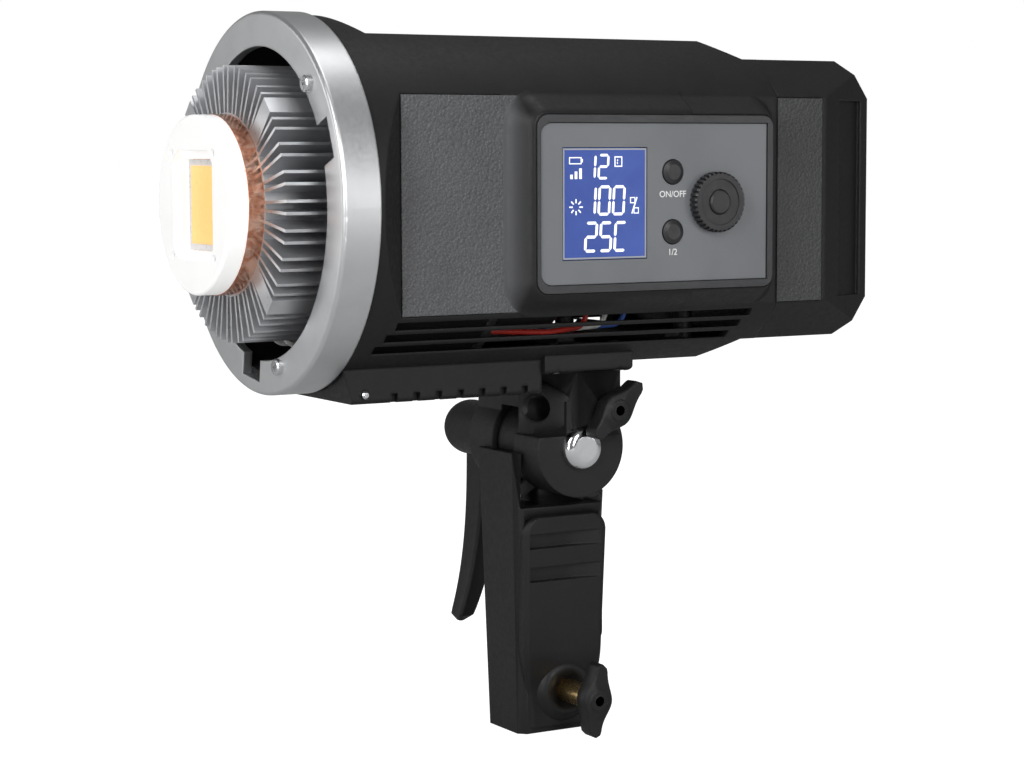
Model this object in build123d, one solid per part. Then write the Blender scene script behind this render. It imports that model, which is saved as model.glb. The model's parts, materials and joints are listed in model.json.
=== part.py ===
from build123d import *
import math
import os

# Continuous LED studio head of monolight form, on its tilting stand grip.
# Millimetres. The origin is the centre of the stand socket's mouth, +Z is up,
# the light faces -Y and the control panel is on +X. Depths run back from the
# front of the mount ring, and heights in the head run from the light axis.

# ---- Places of the main axes ----
tilt_z = 100.0          # tilt axis (along X) above the socket mouth
yoke_h = 26.6           # from the tilt axis up to the saddle
front_y = -107.5        # front face of the mount ring

# ---- Fits ----
seat_gap = 0.2          # clearance of a part dropped into its seat
move_gap = 0.3          # clearance beside a moving part
run_gap = 0.05          # radial running clearance of a shaft or hub
thread_bite = 0.2       # radial overlap of a screw's thread in its pilot hole
over = 1.0              # how far a cutter runs past the face it opens
m3_r = 1.5
m3_shank_r = 1.25       # plain shank that stands in for the thread
m3_head_r = 2.75
m3_head_h = 1.7

# ---- Housing ----
body_r = 61.0           # round collar and shoulders of the housing
side_cut = 11.0         # depth of the side flats
top_cut = 6.7           # depth of the top and bottom flats
neck_drop = 6.3         # step from those flats down to the battery
wall = 2.6
rear_wall = 3.0
top_ramp_end = 25.0     # depth where the top flat begins
side_ramp_end = 25.7    # depth where the side flats begin
neck_length = 6.0       # ends of the housing that match the battery's height
neck_ramp = 12.0
shell_boss_r = 3.6
shell_screw_drop = 6.8  # shell screws below the top flat
shell_screw_from_neck = (66.0, 23.0)
shell_screw_seat = 14.0 # where the screw heads bear, out from the middle
contact_half_w = 22.0   # window to the battery contacts
contact_half_h = 14.0

# ---- Louvres, a set of long slots at the lower corners ----
slot_count = 3
slot_h = 2.5
slot_pitch = 3.9
slot_drop = 2.9         # first slot below the side flat
slot_start = 25.0
slot_end_wall = 9.0     # from the first slot's end to the housing's
slot_step = 2.3         # each lower slot starts and ends this much further forward
slot_deep = 20.0        # how far the slots reach in from the side flat

# ---- Grained side pads ----
pad_t = 1.2
pad_rise = 0.3          # how far a pad stands out of its flat
pad_margin = 0.3        # flat left above and below a pad
pad_to_bump = 2.0

# ---- Control bump, bezel and plate on the near side ----
bump_start = 64.0
bump_h = 8.5
bump_taper = 35.0
bump_corner = 10.0
bump_wall = 3.4
bump_tail = 1.8         # from the bump's foot to the end of the housing
throat_inset = 2.0      # how much smaller the way into the bump is than the bump
panel_floor_t = 2.4     # wall under the bezel's recess
bezel_front = 6.0       # bezel's edges from the bump's foot
bezel_rear = 6.2
bezel_margin = 6.4
bezel_corner = 4.0
bezel_seat = 1.5        # depth of the recess that holds bezel and plate
bezel_rise = 0.4
bezel_front_w = 1.5
bezel_rear_w = 2.4
bezel_side_w = 2.7
plate_t = 1.3
board_t = 1.6
board_front = 8.0       # control board's edges from the bump's foot
board_rear = 8.2
board_margin = 7.9
board_boss_r = 2.8
board_screw_r = 1.25
board_screw_in = 4.2    # board screws from the board's edges
switch_size = 6.0
encoder_size = 12.0

# ---- Display, buttons and dial, in order along the plate ----
lcd_from_bezel = 9.9
lcd_length = 31.8
lcd_margin = 8.0        # plate left above and below the display
lcd_frame = 2.0
lcd_drop = 0.3          # window below the plate
button_from_lcd = 10.2
button_r = 3.9
button_heights = (10.0, -9.6)
button_rise = 1.0
button_dome = 0.7
button_flange_w = 1.0
button_flange_t = 1.0
button_travel = 0.8
dial_from_button = 16.6
dial_to_bezel = 23.5
dial_r = 10.0
dial_teeth = 36
dial_tooth_h = 0.7
dial_tooth_w = 0.8
dial_h = 3.4
dial_rim_w = 2.4
dial_dish = 0.5
dial_hub_r = 5.6
dial_snap = 0.8
set_r = 4.0
edge_break = 0.5

# ---- Mount ring and accessory bayonet ----
ring_lip = 1.0          # ring proud of the housing
ring_wall = 4.5
ring_depth = 12.9
ring_edge = 1.2
flange_w = 6.8          # from the opening to the inside of the ring's wall
flange_t = 3.2
notch_w = 13.4
notch_angles = (22.0, 142.0, 262.0)
ring_screw_in = 3.9     # screws inside the ring's wall
ring_screw_turn = 23.0  # each screw is this far round from its notch
ring_screw_head_r = 2.7
ring_screw_head_h = 1.7
ring_screw_length = 9.0
cross_w = 0.6
cross_l = 2.6
screw_post_r = 3.0
sleeve_wall = 1.8

# ---- Light engine ----
fin_gap = 0.9           # fins clear of the sleeve's side flats
hub_depth = 15.0        # from the fins' tips down to their hub
hub_wall = 6.5
heatsink_start = -11.0
heatsink_end = 60.0
fin_t = 1.0
fin_pairs = 7
pair_pitch = 11.8
fin_split = 4.9
post_t = 6.4
post_screw_in = 4.0     # screws inside the posts' tips
post_screw_l = 10.0
post_angles = (45.0, 135.0, 225.0, 315.0)
copper_in = 0.5         # copper flange inside the hub
copper_t = 5.3
copper_boss_h = 18.0
holder_in = 0.2         # holder inside the copper flange
holder_t = 6.7
holder_edge = 1.0
window_x = 16.0
window_z = 17.5
window_corner = 4.0
window_h = 2.6
holder_slit_w = 0.8
holder_slit_l = 3.0
holder_slit_heights = (11.0, -13.6)
holder_screw_in = 5.3
holder_screw_r = 1.25
holder_screw_drop = 0.6
led_board_half = 14.5
led_board_t = 1.6
phosphor_w = 23.6
phosphor_h = 25.0
phosphor_t = 0.5
chassis_t = 3.0
chassis_screw_land = 4.5
wire_r = 0.9
wire_depth = 6.0        # depth where the supply wires turn up between the fins
wire_bend = 5.0
wire_off_fins = 1.6

# ---- Fan ----
fan_corner_gap = 1.83
fan_corner = 4.0
fan_depth = 25.0
fan_rim = 2.0
fan_screw_in = 4.25
fan_hole_r = 2.1
fan_hub_r = 17.0
fan_motor_r = 13.0
fan_strut_w = 3.0
fan_strut_t = 3.0
fan_strut_angles = (20.0, 110.0, 200.0, 290.0)
fan_blades = 9
fan_blade_t = 1.6
fan_blade_chord = 24.0
fan_blade_pitch = 48.0
fan_inset = 2.0
fan_tip_gap = 1.2
fan_shaft_r = 1.5
fan_bearing_wall = 0.8
fan_screw_head_r = 3.2
fan_screw_head_h = 1.8
fan_screw_reach = 2.5

# ---- Electronics in the rear bay ----
driver_drop = 28.0      # top face of the driver board below the light axis
driver_from_fan = 8.0
driver_to_rear = 12.0
driver_side_gap = 7.4
driver_post_r = 3.2
driver_post_in = 16.0
driver_post_front = 5.0
driver_post_rear = 9.0
driver_screw_l = 7.0
capacitor_r = 5.0
capacitor_h = 20.0
capacitor_x = -30.0
capacitor_places = (16.0, 30.0, 42.0)
coil_r = 9.5
coil_hole_r = 4.0
coil_h = 9.0
coil_xs = (-8.0, 14.0)
coil_place = 16.0
cooling_bar = (36.0, 3.0, 24.0)
cooling_bar_place = 35.5
connector_size = (10.0, 28.0, 15.0)
connector_x = 34.0
connector_place = 30.0
loom_side = 17.0        # first wire in from the side flat
loom_drop = 41.6
loom_pitch = 2.2
loom_from_board = 8.0
loom_stagger = 9.0
loom_sway = 1.5
loom_sag = 1.2

# ---- Battery contacts ----
contact_xs = (-14.0, -5.0, 5.0, 14.0)
contact_lip = 3.0
contact_lip_t = 2.0
contact_slot_w = 1.8
contact_slot_h = 8.0
blade_t = 1.0
blade_h = 7.0
blade_in = 4.0

# ---- Base rail ----
rail_half_w = 32.0
rail_h = 9.2            # below the bottom flat
rail_from_ring = 1.1
rail_nose = 11.0
rail_nose_h = 3.4
rail_edge = 1.2
rail_notch_w = 2.3
rail_notch_h = 3.0
rail_notch_deep = 2.5
rail_notch_pitch = 8.1
rail_notches = 8
rail_first_notch = 18.4 # from the front of the rail
lock_pin_r = 1.3
lock_pin_back = 7.5     # from the front of the rail
lock_pin_up = 3.1       # above the underside of the rail
lock_pin_in = 9.0
lock_pin_out = 1.6
lock_pin_room = 2.0

# ---- Battery ----
battery_length = 48.0
battery_wall = 2.5
battery_corner_w = 13.0 # width of its sloping corners
battery_straight = 21.0 # from the seam to where its sides slope in
battery_top_straight = 34.0
battery_taper = 12.0    # how much each side slopes in
corner_draw = 0.4       # how much an inset draws the sloping faces' corners in
battery_pad_end = 2.0   # pad's end ahead of the slope
grip_recess_from = 7.0  # finger recess behind the start of the slope
grip_recess_to_rear = 4.5
grip_recess_depth = 1.6
grip_recess_run = 4.5
cell_r = 9.1
cell_gap = 0.3
cell_front_gap = 1.9
cell_end_gap = 17.5
cell_columns = 2
cell_rows = 4
tray_t = 2.0
latch_from_seam = 12.5
latch_half = 6.0
latch_flange_w = 2.0
latch_flange_t = 1.5
latch_rise = 0.6
socket_r = 2.8
socket_rim = 1.4
socket_pin_r = 0.9
socket_floor = 0.8
socket_drop = 22.0

# ---- Tilt yoke ----
cheek_r = 17.0
cheek_in = 7.6          # inner face of each cheek
cheek_out = 24.0
shoulder_x = 27.0       # blocks above the cheeks stand out to here
shoulder_z = 4.0        # lower edge of those blocks above the tilt axis
slot_roof = 13.0        # roof of the tongue's slot above the tilt axis
yoke_front = -13.0      # from the tilt axis
yoke_rear = 14.0
hole_face_x = 8.0       # the slanted face runs from here on the front
hole_face_y = -3.0      # to here on the side
saddle_in = 16.0        # saddle's sides inside the side flats
saddle_front = -20.0
saddle_rear = 14.5
saddle_t = 2.9          # under the bottom flat
saddle_edge = 1.8
umbrella_r = 4.6
umbrella_x = 13.5
umbrella_z = 13.4       # above the tilt axis
umbrella_knob_y = 8.2
umbrella_screw_r = 2.5
umbrella_stem_r = 4.2
umbrella_room = 1.2
yoke_screw_r = 1.9
yoke_screw_head_r = 3.0
yoke_screw_head_h = 2.0
yoke_screw_in = 3.6     # from the saddle's sides
yoke_screw_end = 5.0    # from the saddle's ends
yoke_screw_l = 10.2

# ---- Tilt joint ----
bolt_r = 4.0
bolt_head_r = 7.5
bolt_head_h = 3.6
bolt_rim = 0.4
bolt_short = 4.0        # bolt's end inside the lever's hub
washer_in = 2.5         # washers inside the tongue
washer_t = 0.6
tongue_in = 2.0         # tongue inside the cheeks
tongue_room = 1.2
hub_gap = 0.5
hub_length = 28.0
hub_radius = 10.0
lever_x = 54.0
lever_t = 8.0
lever_front = [(0.5, -4.0), (0.3, -28.0), (-1.9, -46.5), (-5.2, -62.0), (-7.0, -69.0)]
lever_rear = [(-1.6, -72.0), (1.8, -60.0), (6.5, -46.0), (9.4, -30.0), (9.8, -4.0)]
insert_r = 6.0
insert_cap = 2.0

# ---- Grip ----
grip_half_top = 14.0
grip_half_bottom = 12.0
grip_front_top = -20.0
grip_rear_top = 17.5
grip_front_bottom = -17.0
grip_rear_bottom = 13.5
grip_bevel = 2.5
front_wall_drop = 2.0   # front wall's top below the tilt axis
floor_gap = 4.0         # floor of the upper hollow below the cheeks
grip_wall = 2.4
stalk_front = -6.0
stalk_rear = 12.0
socket_bore_r = 8.05
socket_bore_h = 37.0
liner_t = 1.55
liner_lip = 1.0
lock_z = 14.5           # stand lock screw above the mouth
lock_screw_r = 4.0
lock_screw_off = 1.0    # screw's tip clear of the spigot
lock_boss_r = 12.8
lock_boss_h = 3.5
lock_boss_taper = 42.0
lock_boss_front = 2.0
lock_boss_rear = 1.0
counterbore_w = 2.2
counterbore_h = 1.6
panel_t = 0.9
panel_front = 6.5       # raised pad's edges from the grip's
panel_rear = 3.2
panel_top = 5.5
panel_low = 30.0
panel_corner = 4.0
groove_half_h = 2.6
groove_drops = (11.5, 23.0)
groove_front = -7.5
groove_rear = 11.0
groove_depth = 2.2
groove_flat = 0.6       # share of the groove at its full depth
groove_run_out = 0.3

# ---- Wing knobs ----
knob_face_x = 36.0
knob_t = 6.0
knob_hub_r = 5.6
knob_edge = 0.8
wing_reach = 12.4
wing_tip_r = 2.6
wing_sweep = 1.8
knob_rings = (1.6, 3.6)
knob_ring_w = 0.7
knob_ring_h = 0.35
umbrella_knob_turn = -52.0
stand_knob_turn = -13.0

# ---- Sizes that follow ----
side_x = body_r - side_cut
top_z = body_r - top_cut
neck_z = top_z - neck_drop
flat_half_z = math.sqrt(body_r**2 - side_x**2)
saddle_bottom = top_z + saddle_t
light_z = tilt_z + yoke_h + saddle_bottom

bezel_start = bump_start + bezel_front
lcd_start = bezel_start + lcd_from_bezel
lcd_end = lcd_start + lcd_length
button_depth = lcd_end + button_from_lcd
dial_depth = button_depth + dial_from_button
bezel_end = dial_depth + dial_to_bezel
bump_end = bezel_end + bezel_rear
housing_end = bump_end + bump_tail
neck_start = housing_end - neck_length
top_flat_end = neck_start - neck_ramp
slot_end = housing_end - slot_end_wall
slot_inner_x = side_x - slot_deep
first_slot_z = flat_half_z + slot_drop
pad_end = bump_start - pad_to_bump
pad_half_h = flat_half_z - pad_margin
shell_screw_z = top_z - shell_screw_drop
shell_screw_depths = [neck_start - back for back in shell_screw_from_neck]

bump_face_x = side_x + bump_h
seat_x = bump_face_x - bezel_seat
bump_inner_x = seat_x - panel_floor_t
plate_x = seat_x + plate_t
bezel_half_h = flat_half_z - bezel_margin
lcd_half_h = bezel_half_h - bezel_side_w - lcd_margin
button_flange_r = button_r + button_flange_w
board_x = side_x - seat_gap
board_start = bump_start + board_front
board_end = bump_end - board_rear
board_half_h = flat_half_z - board_margin
board_screw_depths = (board_start + board_screw_in, board_end - board_screw_in)
board_screw_z = board_half_h - board_screw_in

ring_r = body_r + ring_lip
ring_inner_r = ring_r - ring_wall
opening_r = ring_inner_r - flange_w
ring_screw_r = ring_inner_r - ring_screw_in
screw_angles = [angle + ring_screw_turn for angle in notch_angles]

fin_r = side_x - wall - sleeve_wall - seat_gap - fin_gap
hub_r = fin_r - hub_depth
core_bore_r = hub_r - hub_wall
post_screw_r = fin_r - post_screw_in
copper_r = hub_r - copper_in
copper_front = heatsink_start - copper_t
holder_r = copper_r - holder_in
holder_front = copper_front - holder_t
holder_screw_ring_r = holder_r - holder_screw_in
chassis_hole_r = post_screw_r - chassis_screw_land
fan_start = heatsink_end + chassis_t
fan_end = fan_start + fan_depth
fan_half = (body_r - wall - fan_corner_gap) / math.sqrt(2)
fan_opening_r = fan_half - fan_rim
fan_pitch = fan_half - fan_screw_in

driver_z = -driver_drop
driver_start = fan_end + driver_from_fan
driver_end = housing_end - driver_to_rear
driver_half_w = side_x - wall - driver_side_gap
driver_post_x = driver_half_w - driver_post_in
driver_post_depths = (driver_start + driver_post_front, driver_end - driver_post_rear)
loom_x = side_x - loom_side
loom_z = -loom_drop

rail_bottom = top_z + rail_h
rail_start = ring_depth + rail_from_ring
lock_pin_depth = rail_start + lock_pin_back
lock_pin_z = -rail_bottom + lock_pin_up

battery_start = housing_end + seat_gap
battery_end = housing_end + battery_length
battery_half_h = flat_half_z
battery_corner_x = side_x - battery_corner_w
battery_side_end = housing_end + battery_straight
battery_top_end = housing_end + battery_top_straight
battery_rear_x = side_x - battery_taper
battery_pad_depth = battery_side_end - battery_pad_end
grip_recess_start = battery_side_end + grip_recess_from
grip_recess_end = battery_end - grip_recess_to_rear
cell_length = 2 * (side_x - cell_end_gap)
latch_depth = housing_end + latch_from_seam

tongue_half = cheek_in - move_gap - washer_t
tongue_r = cheek_r - tongue_in
washer_r = tongue_r - washer_in
saddle_half_w = side_x - saddle_in
yoke_screw_x = saddle_half_w - yoke_screw_in
yoke_screw_top = yoke_screw_l - saddle_bottom
hub_start = cheek_out + hub_gap
hub_end = hub_start + hub_length

front_wall_z = tilt_z - front_wall_drop
rear_wall_z = tilt_z - cheek_r
grip_floor_z = rear_wall_z - floor_gap
liner_r = socket_bore_r + liner_t
lock_boss_x = grip_half_bottom + lock_boss_h
groove_zs = [grip_floor_z - drop for drop in groove_drops]


# ---- Helpers ----
def head_plane(depth):
    """Cross-section of the head at a depth, seen from the front: x is +X, y is +Z."""
    return Plane(origin=(0, front_y + depth, light_z), x_dir=(1, 0, 0), z_dir=(0, -1, 0))


def slab(profile, start, end):
    """A cross-section of the head extruded between two depths."""
    return extrude(head_plane(start) * profile, amount=start - end)


def side_plane(x, y=0.0, z=0.0):
    """Plane facing +X, with its own x along +Y and its own y along +Z."""
    return Plane(origin=(x, y, z), x_dir=(0, 1, 0), z_dir=(1, 0, 0))


def side_prism(profile, x_from, x_to, y=0.0, z=0.0):
    """A profile in Y and Z extruded between two X values."""
    return extrude(side_plane(x_from, y, z) * profile, amount=x_to - x_from)


def panel_prism(profile, x_from, x_to, depth=0.0, height=0.0):
    """A side profile placed by its depth along the head and its height off the light axis."""
    return side_prism(profile, x_from, x_to, front_y + depth, light_z + height)


def x_rod(radius, x_from, x_to, y, z):
    return side_prism(Circle(radius), x_from, x_to, y, z)


def round_slab(radius, start, end, x=0.0, z=0.0):
    return slab(Pos(x, z) * Circle(radius), start, end)


def upright(radius, z_from, z_to):
    return Pos(0, 0, (z_from + z_to) / 2) * Cylinder(radius, z_to - z_from)


def polar(radius, angle):
    turn = math.radians(angle)
    return radius * math.cos(turn), radius * math.sin(turn)


def box_between(x_from, x_to, y_from, y_to, z_from, z_to):
    size = (x_to - x_from, y_to - y_from, z_to - z_from)
    middle = ((x_from + x_to) / 2, (y_from + y_to) / 2, (z_from + z_to) / 2)
    return Pos(*middle) * Box(*size)


def depth_box(x_from, x_to, start, end, z_from, z_to):
    """A box placed by depths along the head and heights off the light axis."""
    return box_between(x_from, x_to, front_y + start, front_y + end, light_z + z_from, light_z + z_to)


def group(solids):
    return Compound(children=list(solids))


# ---- Housing ----
def mirrored_outline(points):
    """Closed outline from (depth, half width) points and their mirror images."""
    lower = [(depth, -half) for depth, half in reversed(points)]
    return make_face(Polyline(*points, *lower, close=True))


def housing_form(inset, start, end):
    """Outer form of the housing between two depths, drawn in all round by an inset."""
    barrel = round_slab(body_r - inset, start, end)
    clear_r = body_r + over - inset
    side_ramp_start = side_ramp_end - (body_r + over - side_x)
    top_ramp_start = top_ramp_end - (body_r + over - top_z)
    plan_points = [
        (-body_r, clear_r),
        (side_ramp_start, clear_r),
        (side_ramp_end, side_x - inset),
        (housing_end + body_r, side_x - inset),
    ]
    side_points = [
        (-body_r, clear_r),
        (top_ramp_start, clear_r),
        (top_ramp_end, top_z - inset),
        (top_flat_end, top_z - inset),
        (neck_start, neck_z - inset),
        (housing_end + body_r, neck_z - inset),
    ]
    floor = Plane(origin=(0, front_y, light_z - 2 * body_r), x_dir=(0, 1, 0), z_dir=(0, 0, -1))
    plan = extrude(floor * mirrored_outline(plan_points), amount=-4 * body_r)
    left = side_plane(-2 * body_r, front_y, light_z)
    side = extrude(left * mirrored_outline(side_points), amount=4 * body_r)
    return barrel & plan & side


def bump_form(inset, top_x):
    """Tapered bump that carries the controls, drawn in by an inset."""
    length = bump_end - bump_start - 2 * inset
    half_h = flat_half_z - inset
    base = RectangleRounded(length, 2 * half_h, bump_corner)
    middle = (bump_start + bump_end) / 2
    plane = side_plane(side_x, front_y + middle, light_z)
    return extrude(plane * base, amount=top_x - side_x, taper=bump_taper)


def louvres():
    """Long slots through the lower side of one shell."""
    cutters = []
    for i in range(slot_count):
        height = -(first_slot_z + i * slot_pitch)
        start = slot_start - i * slot_step
        end = slot_end - i * slot_step
        cutters.append(
            depth_box(slot_inner_x, body_r + over, start, end, height - slot_h / 2, height + slot_h / 2)
        )
    return cutters


def pad_pocket(sign, gap):
    half_h = pad_half_h + gap
    back = side_x - pad_t + pad_rise
    bounds = sorted((sign * back, sign * (side_x + pad_t)))
    return depth_box(bounds[0], bounds[1], side_ramp_end, pad_end + gap, -half_h, half_h)


def shell_bosses():
    """Cross tubes that the shell screws run through, in both shells."""
    tubes = []
    for depth in shell_screw_depths:
        for height in (shell_screw_z, -shell_screw_z):
            tubes.append(panel_prism(Circle(shell_boss_r), -side_x, side_x, depth, height))
    return tubes


def full_housing():
    """Both shells as one hollow body, before they are parted at the middle."""
    outer = housing_form(0, ring_depth, housing_end)
    inner = housing_form(wall, ring_depth - over, housing_end - rear_wall)
    solid = outer - inner
    for tube in shell_bosses():
        solid += tube & outer
    solid += [post & outer for post in board_posts(driver_post_r, -body_r, driver_z - board_t)]
    solid -= board_posts(m3_r - thread_bite, driver_z - board_t - driver_screw_l - over, driver_z)
    solid -= yoke_screw_rods(yoke_screw_r + run_gap, -body_r, yoke_screw_top + over)
    contact_window = depth_box(
        -contact_half_w,
        contact_half_w,
        housing_end - rear_wall - over,
        housing_end + over,
        -contact_half_h,
        contact_half_h,
    )
    return solid - contact_window


def board_posts(radius, z_from, z_to):
    """Four upright rods where the driver board is screwed down."""
    rods = []
    for x in (-driver_post_x, driver_post_x):
        for depth in driver_post_depths:
            rods.append(Pos(x, front_y + depth, light_z) * upright(radius, z_from, z_to))
    return rods


def housing_panel_side():
    half = full_housing() & depth_box(0, 2 * body_r, 0, housing_end + over, -2 * body_r, 2 * body_r)
    half += bump_form(0, bump_face_x)
    inner = bump_form(bump_wall, bump_inner_x)
    throat_edge = bump_wall + throat_inset
    throat = depth_box(
        side_x - wall - over,
        side_x + run_gap,
        bump_start + throat_edge,
        bump_end - throat_edge,
        -flat_half_z + throat_edge,
        flat_half_z - throat_edge,
    )
    half -= inner
    half -= throat
    boss_root = bump_inner_x + panel_floor_t / 2
    for depth in board_screw_depths:
        for height in (board_screw_z, -board_screw_z):
            half += panel_prism(Circle(board_boss_r), board_x, boss_root, depth, height)
            pilot = Circle(board_screw_r - thread_bite)
            half -= panel_prism(pilot, board_x - over, bump_inner_x, depth, height)
    half -= panel_recess(bezel_half_h + seat_gap, seat_gap, seat_x, bump_face_x + over)
    half -= control_openings(move_gap)
    half -= louvres()
    half -= pad_pocket(1, seat_gap)
    for depth in shell_screw_depths:
        for height in (shell_screw_z, -shell_screw_z):
            half -= panel_prism(Circle(m3_r - thread_bite), -over, shell_screw_seat, depth, height)
    return half


def housing_far_side():
    half = full_housing() & depth_box(-2 * body_r, 0, 0, housing_end + over, -2 * body_r, 2 * body_r)
    half -= [mirror(cutter, about=Plane.YZ) for cutter in louvres()]
    half -= pad_pocket(-1, seat_gap)
    for depth in shell_screw_depths:
        for height in (shell_screw_z, -shell_screw_z):
            half -= panel_prism(Circle(m3_r + seat_gap), -shell_screw_seat, over, depth, height)
            access = Circle(m3_head_r + seat_gap)
            half -= panel_prism(access, -side_x - over, -shell_screw_seat, depth, height)
    return half


def housing_screws():
    screws = []
    for depth in shell_screw_depths:
        for height in (shell_screw_z, -shell_screw_z):
            shank = panel_prism(Circle(m3_shank_r), -shell_screw_seat, shell_screw_seat - over, depth, height)
            head_top = -shell_screw_seat - m3_head_h
            head = panel_prism(Circle(m3_head_r), head_top, -shell_screw_seat, depth, height)
            hexagon = RegularPolygon(m3_shank_r, 6)
            drive = panel_prism(hexagon, head_top, head_top + m3_head_h / 2, depth, height)
            screws.append(shank + head - drive)
    return group(screws)


def side_pad(sign):
    """Grained pad let into a side flat ahead of the controls."""
    inner = side_x - pad_t + pad_rise
    bounds = sorted((sign * inner, sign * (side_x + pad_rise)))
    return depth_box(bounds[0], bounds[1], side_ramp_end + seat_gap, pad_end, -pad_half_h, pad_half_h)


# ---- Controls ----
def panel_recess(half_h, grow, x_from, x_to):
    length = bezel_end - bezel_start + 2 * grow
    middle = (bezel_start + bezel_end) / 2
    return panel_prism(RectangleRounded(length, 2 * half_h, bezel_corner), x_from, x_to, middle)


def control_openings(gap):
    """Holes through the face for the display, the buttons and the dial's hub."""
    reach = (bump_inner_x - over, bump_face_x + over)
    lcd_length = lcd_end - lcd_start + 2 * gap
    middle = (lcd_start + lcd_end) / 2
    holes = [panel_prism(Rectangle(lcd_length, 2 * (lcd_half_h + gap)), *reach, middle)]
    for height in button_heights:
        holes.append(panel_prism(Circle(button_r + gap), *reach, button_depth, height))
    holes.append(panel_prism(Circle(dial_hub_r + run_gap), *reach, dial_depth))
    return holes


def plate_outline(grow):
    """Control plate, rounded at the front end and square at the rear end."""
    start = bezel_start + bezel_front_w - grow
    end = bezel_end - bezel_rear_w + grow
    half_h = bezel_half_h - bezel_side_w + grow
    face = Pos((start + end) / 2, 0) * Rectangle(end - start, 2 * half_h)
    front_corners = face.vertices().sort_by(Axis.X)[:2]
    return fillet(front_corners, bezel_corner)


def control_bezel():
    frame = panel_recess(bezel_half_h, 0, seat_x, bump_face_x + bezel_rise)
    return frame - panel_prism(plate_outline(seat_gap), seat_x - over, bump_face_x + over)


def control_plate():
    plate = panel_prism(plate_outline(0), seat_x, plate_x)
    for hole in control_openings(move_gap):
        plate -= hole
    return plate - panel_prism(Circle(dial_hub_r + move_gap), seat_x - over, plate_x + over, dial_depth)


def control_board():
    length = board_end - board_start
    middle = (board_start + board_end) / 2
    board = panel_prism(Rectangle(length, 2 * board_half_h), board_x - board_t, board_x, middle)
    switch_top = bump_inner_x - move_gap - button_flange_t - button_travel - move_gap
    for height in button_heights:
        board += panel_prism(Rectangle(switch_size, switch_size), board_x, switch_top, button_depth, height)
    board += panel_prism(Rectangle(encoder_size, encoder_size), board_x, switch_top, dial_depth)
    for depth in board_screw_depths:
        for height in (board_screw_z, -board_screw_z):
            hole = Circle(board_screw_r + seat_gap)
            board -= panel_prism(hole, board_x - board_t - over, board_x + over, depth, height)
    return board


def board_screws():
    screws = []
    back_x = board_x - board_t
    tip_x = (board_x + bump_inner_x) / 2
    for depth in board_screw_depths:
        for height in (board_screw_z, -board_screw_z):
            shank = panel_prism(Circle(board_screw_r - thread_bite - run_gap), back_x, tip_x, depth, height)
            head = panel_prism(Circle(2 * board_screw_r), back_x - board_screw_r, back_x, depth, height)
            screws.append(shank + head)
    return group(screws)


def lcd_module():
    middle = (lcd_start + lcd_end) / 2
    frame_length = lcd_end - lcd_start + 2 * lcd_frame
    frame_top = bump_inner_x - seat_gap
    frame = panel_prism(
        Rectangle(frame_length, 2 * (lcd_half_h + lcd_frame)), board_x, frame_top, middle
    )
    window = Rectangle(lcd_length, 2 * lcd_half_h)
    return frame + panel_prism(window, frame_top, plate_x - lcd_drop, middle)


def push_button(height):
    """Domed cap with a flange that keeps it behind the panel."""
    flange_top = bump_inner_x - move_gap
    flange = panel_prism(
        Circle(button_flange_r), flange_top - button_flange_t, flange_top, button_depth, height
    )
    cap_top = plate_x + button_rise
    cap = panel_prism(Circle(button_r), flange_top, cap_top, button_depth, height)
    rim = cap.edges().group_by(Axis.X)[-1]
    return flange + chamfer(rim, button_dome, 2 * button_dome)


def dial_wheel():
    """Toothed wheel on a hub that turns in the panel, with a snap flange behind."""
    base_x = plate_x + move_gap
    top_x = base_x + dial_h
    wheel = panel_prism(Circle(dial_r), base_x, top_x, dial_depth)
    wheel = chamfer(wheel.edges().group_by(Axis.X)[-1], edge_break)
    for i in range(dial_teeth):
        y, z = polar(dial_r, 360 * i / dial_teeth)
        gash = Pos(y, z) * Rot(0, 0, 360 * i / dial_teeth) * Rectangle(2 * dial_tooth_h, dial_tooth_w)
        wheel -= panel_prism(gash, base_x - over, top_x + over, dial_depth)
    wheel -= panel_prism(Circle(dial_r - dial_rim_w), top_x - dial_dish, top_x + over, dial_depth)
    wheel += panel_prism(Circle(dial_hub_r), bump_inner_x - move_gap, base_x, dial_depth)
    flange_x = bump_inner_x - move_gap
    snap = Circle(dial_hub_r + dial_snap)
    wheel += panel_prism(snap, flange_x - button_flange_t, flange_x, dial_depth)
    bore = Circle(set_r + seat_gap)
    return wheel - panel_prism(bore, flange_x - button_flange_t - over, top_x + over, dial_depth)


def set_button():
    bottom = bump_inner_x - move_gap - button_flange_t
    top = plate_x + 2 * move_gap + dial_h
    cap = panel_prism(Circle(set_r), bottom, top, dial_depth)
    return chamfer(cap.edges().group_by(Axis.X)[-1], edge_break)


# ---- Mount ring ----
def mount_ring():
    blank = round_slab(ring_r, 0, ring_depth)
    outer_edge = blank.edges().group_by(Axis.Y)[0]
    blank = fillet(outer_edge, ring_edge)
    blank -= round_slab(opening_r, -over, flange_t + over)
    blank -= round_slab(ring_inner_r, flange_t, ring_depth + over)
    for angle in notch_angles:
        notch = Rot(0, 0, angle) * Pos(ring_inner_r - flange_w, 0) * Rectangle(2 * flange_w, notch_w)
        blank -= slab(notch, -over, flange_t + over)
    for angle in screw_angles:
        x, z = polar(ring_screw_r, angle)
        blank -= round_slab(m3_r + seat_gap, -over, flange_t + over, x, z)
    return blank


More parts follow.
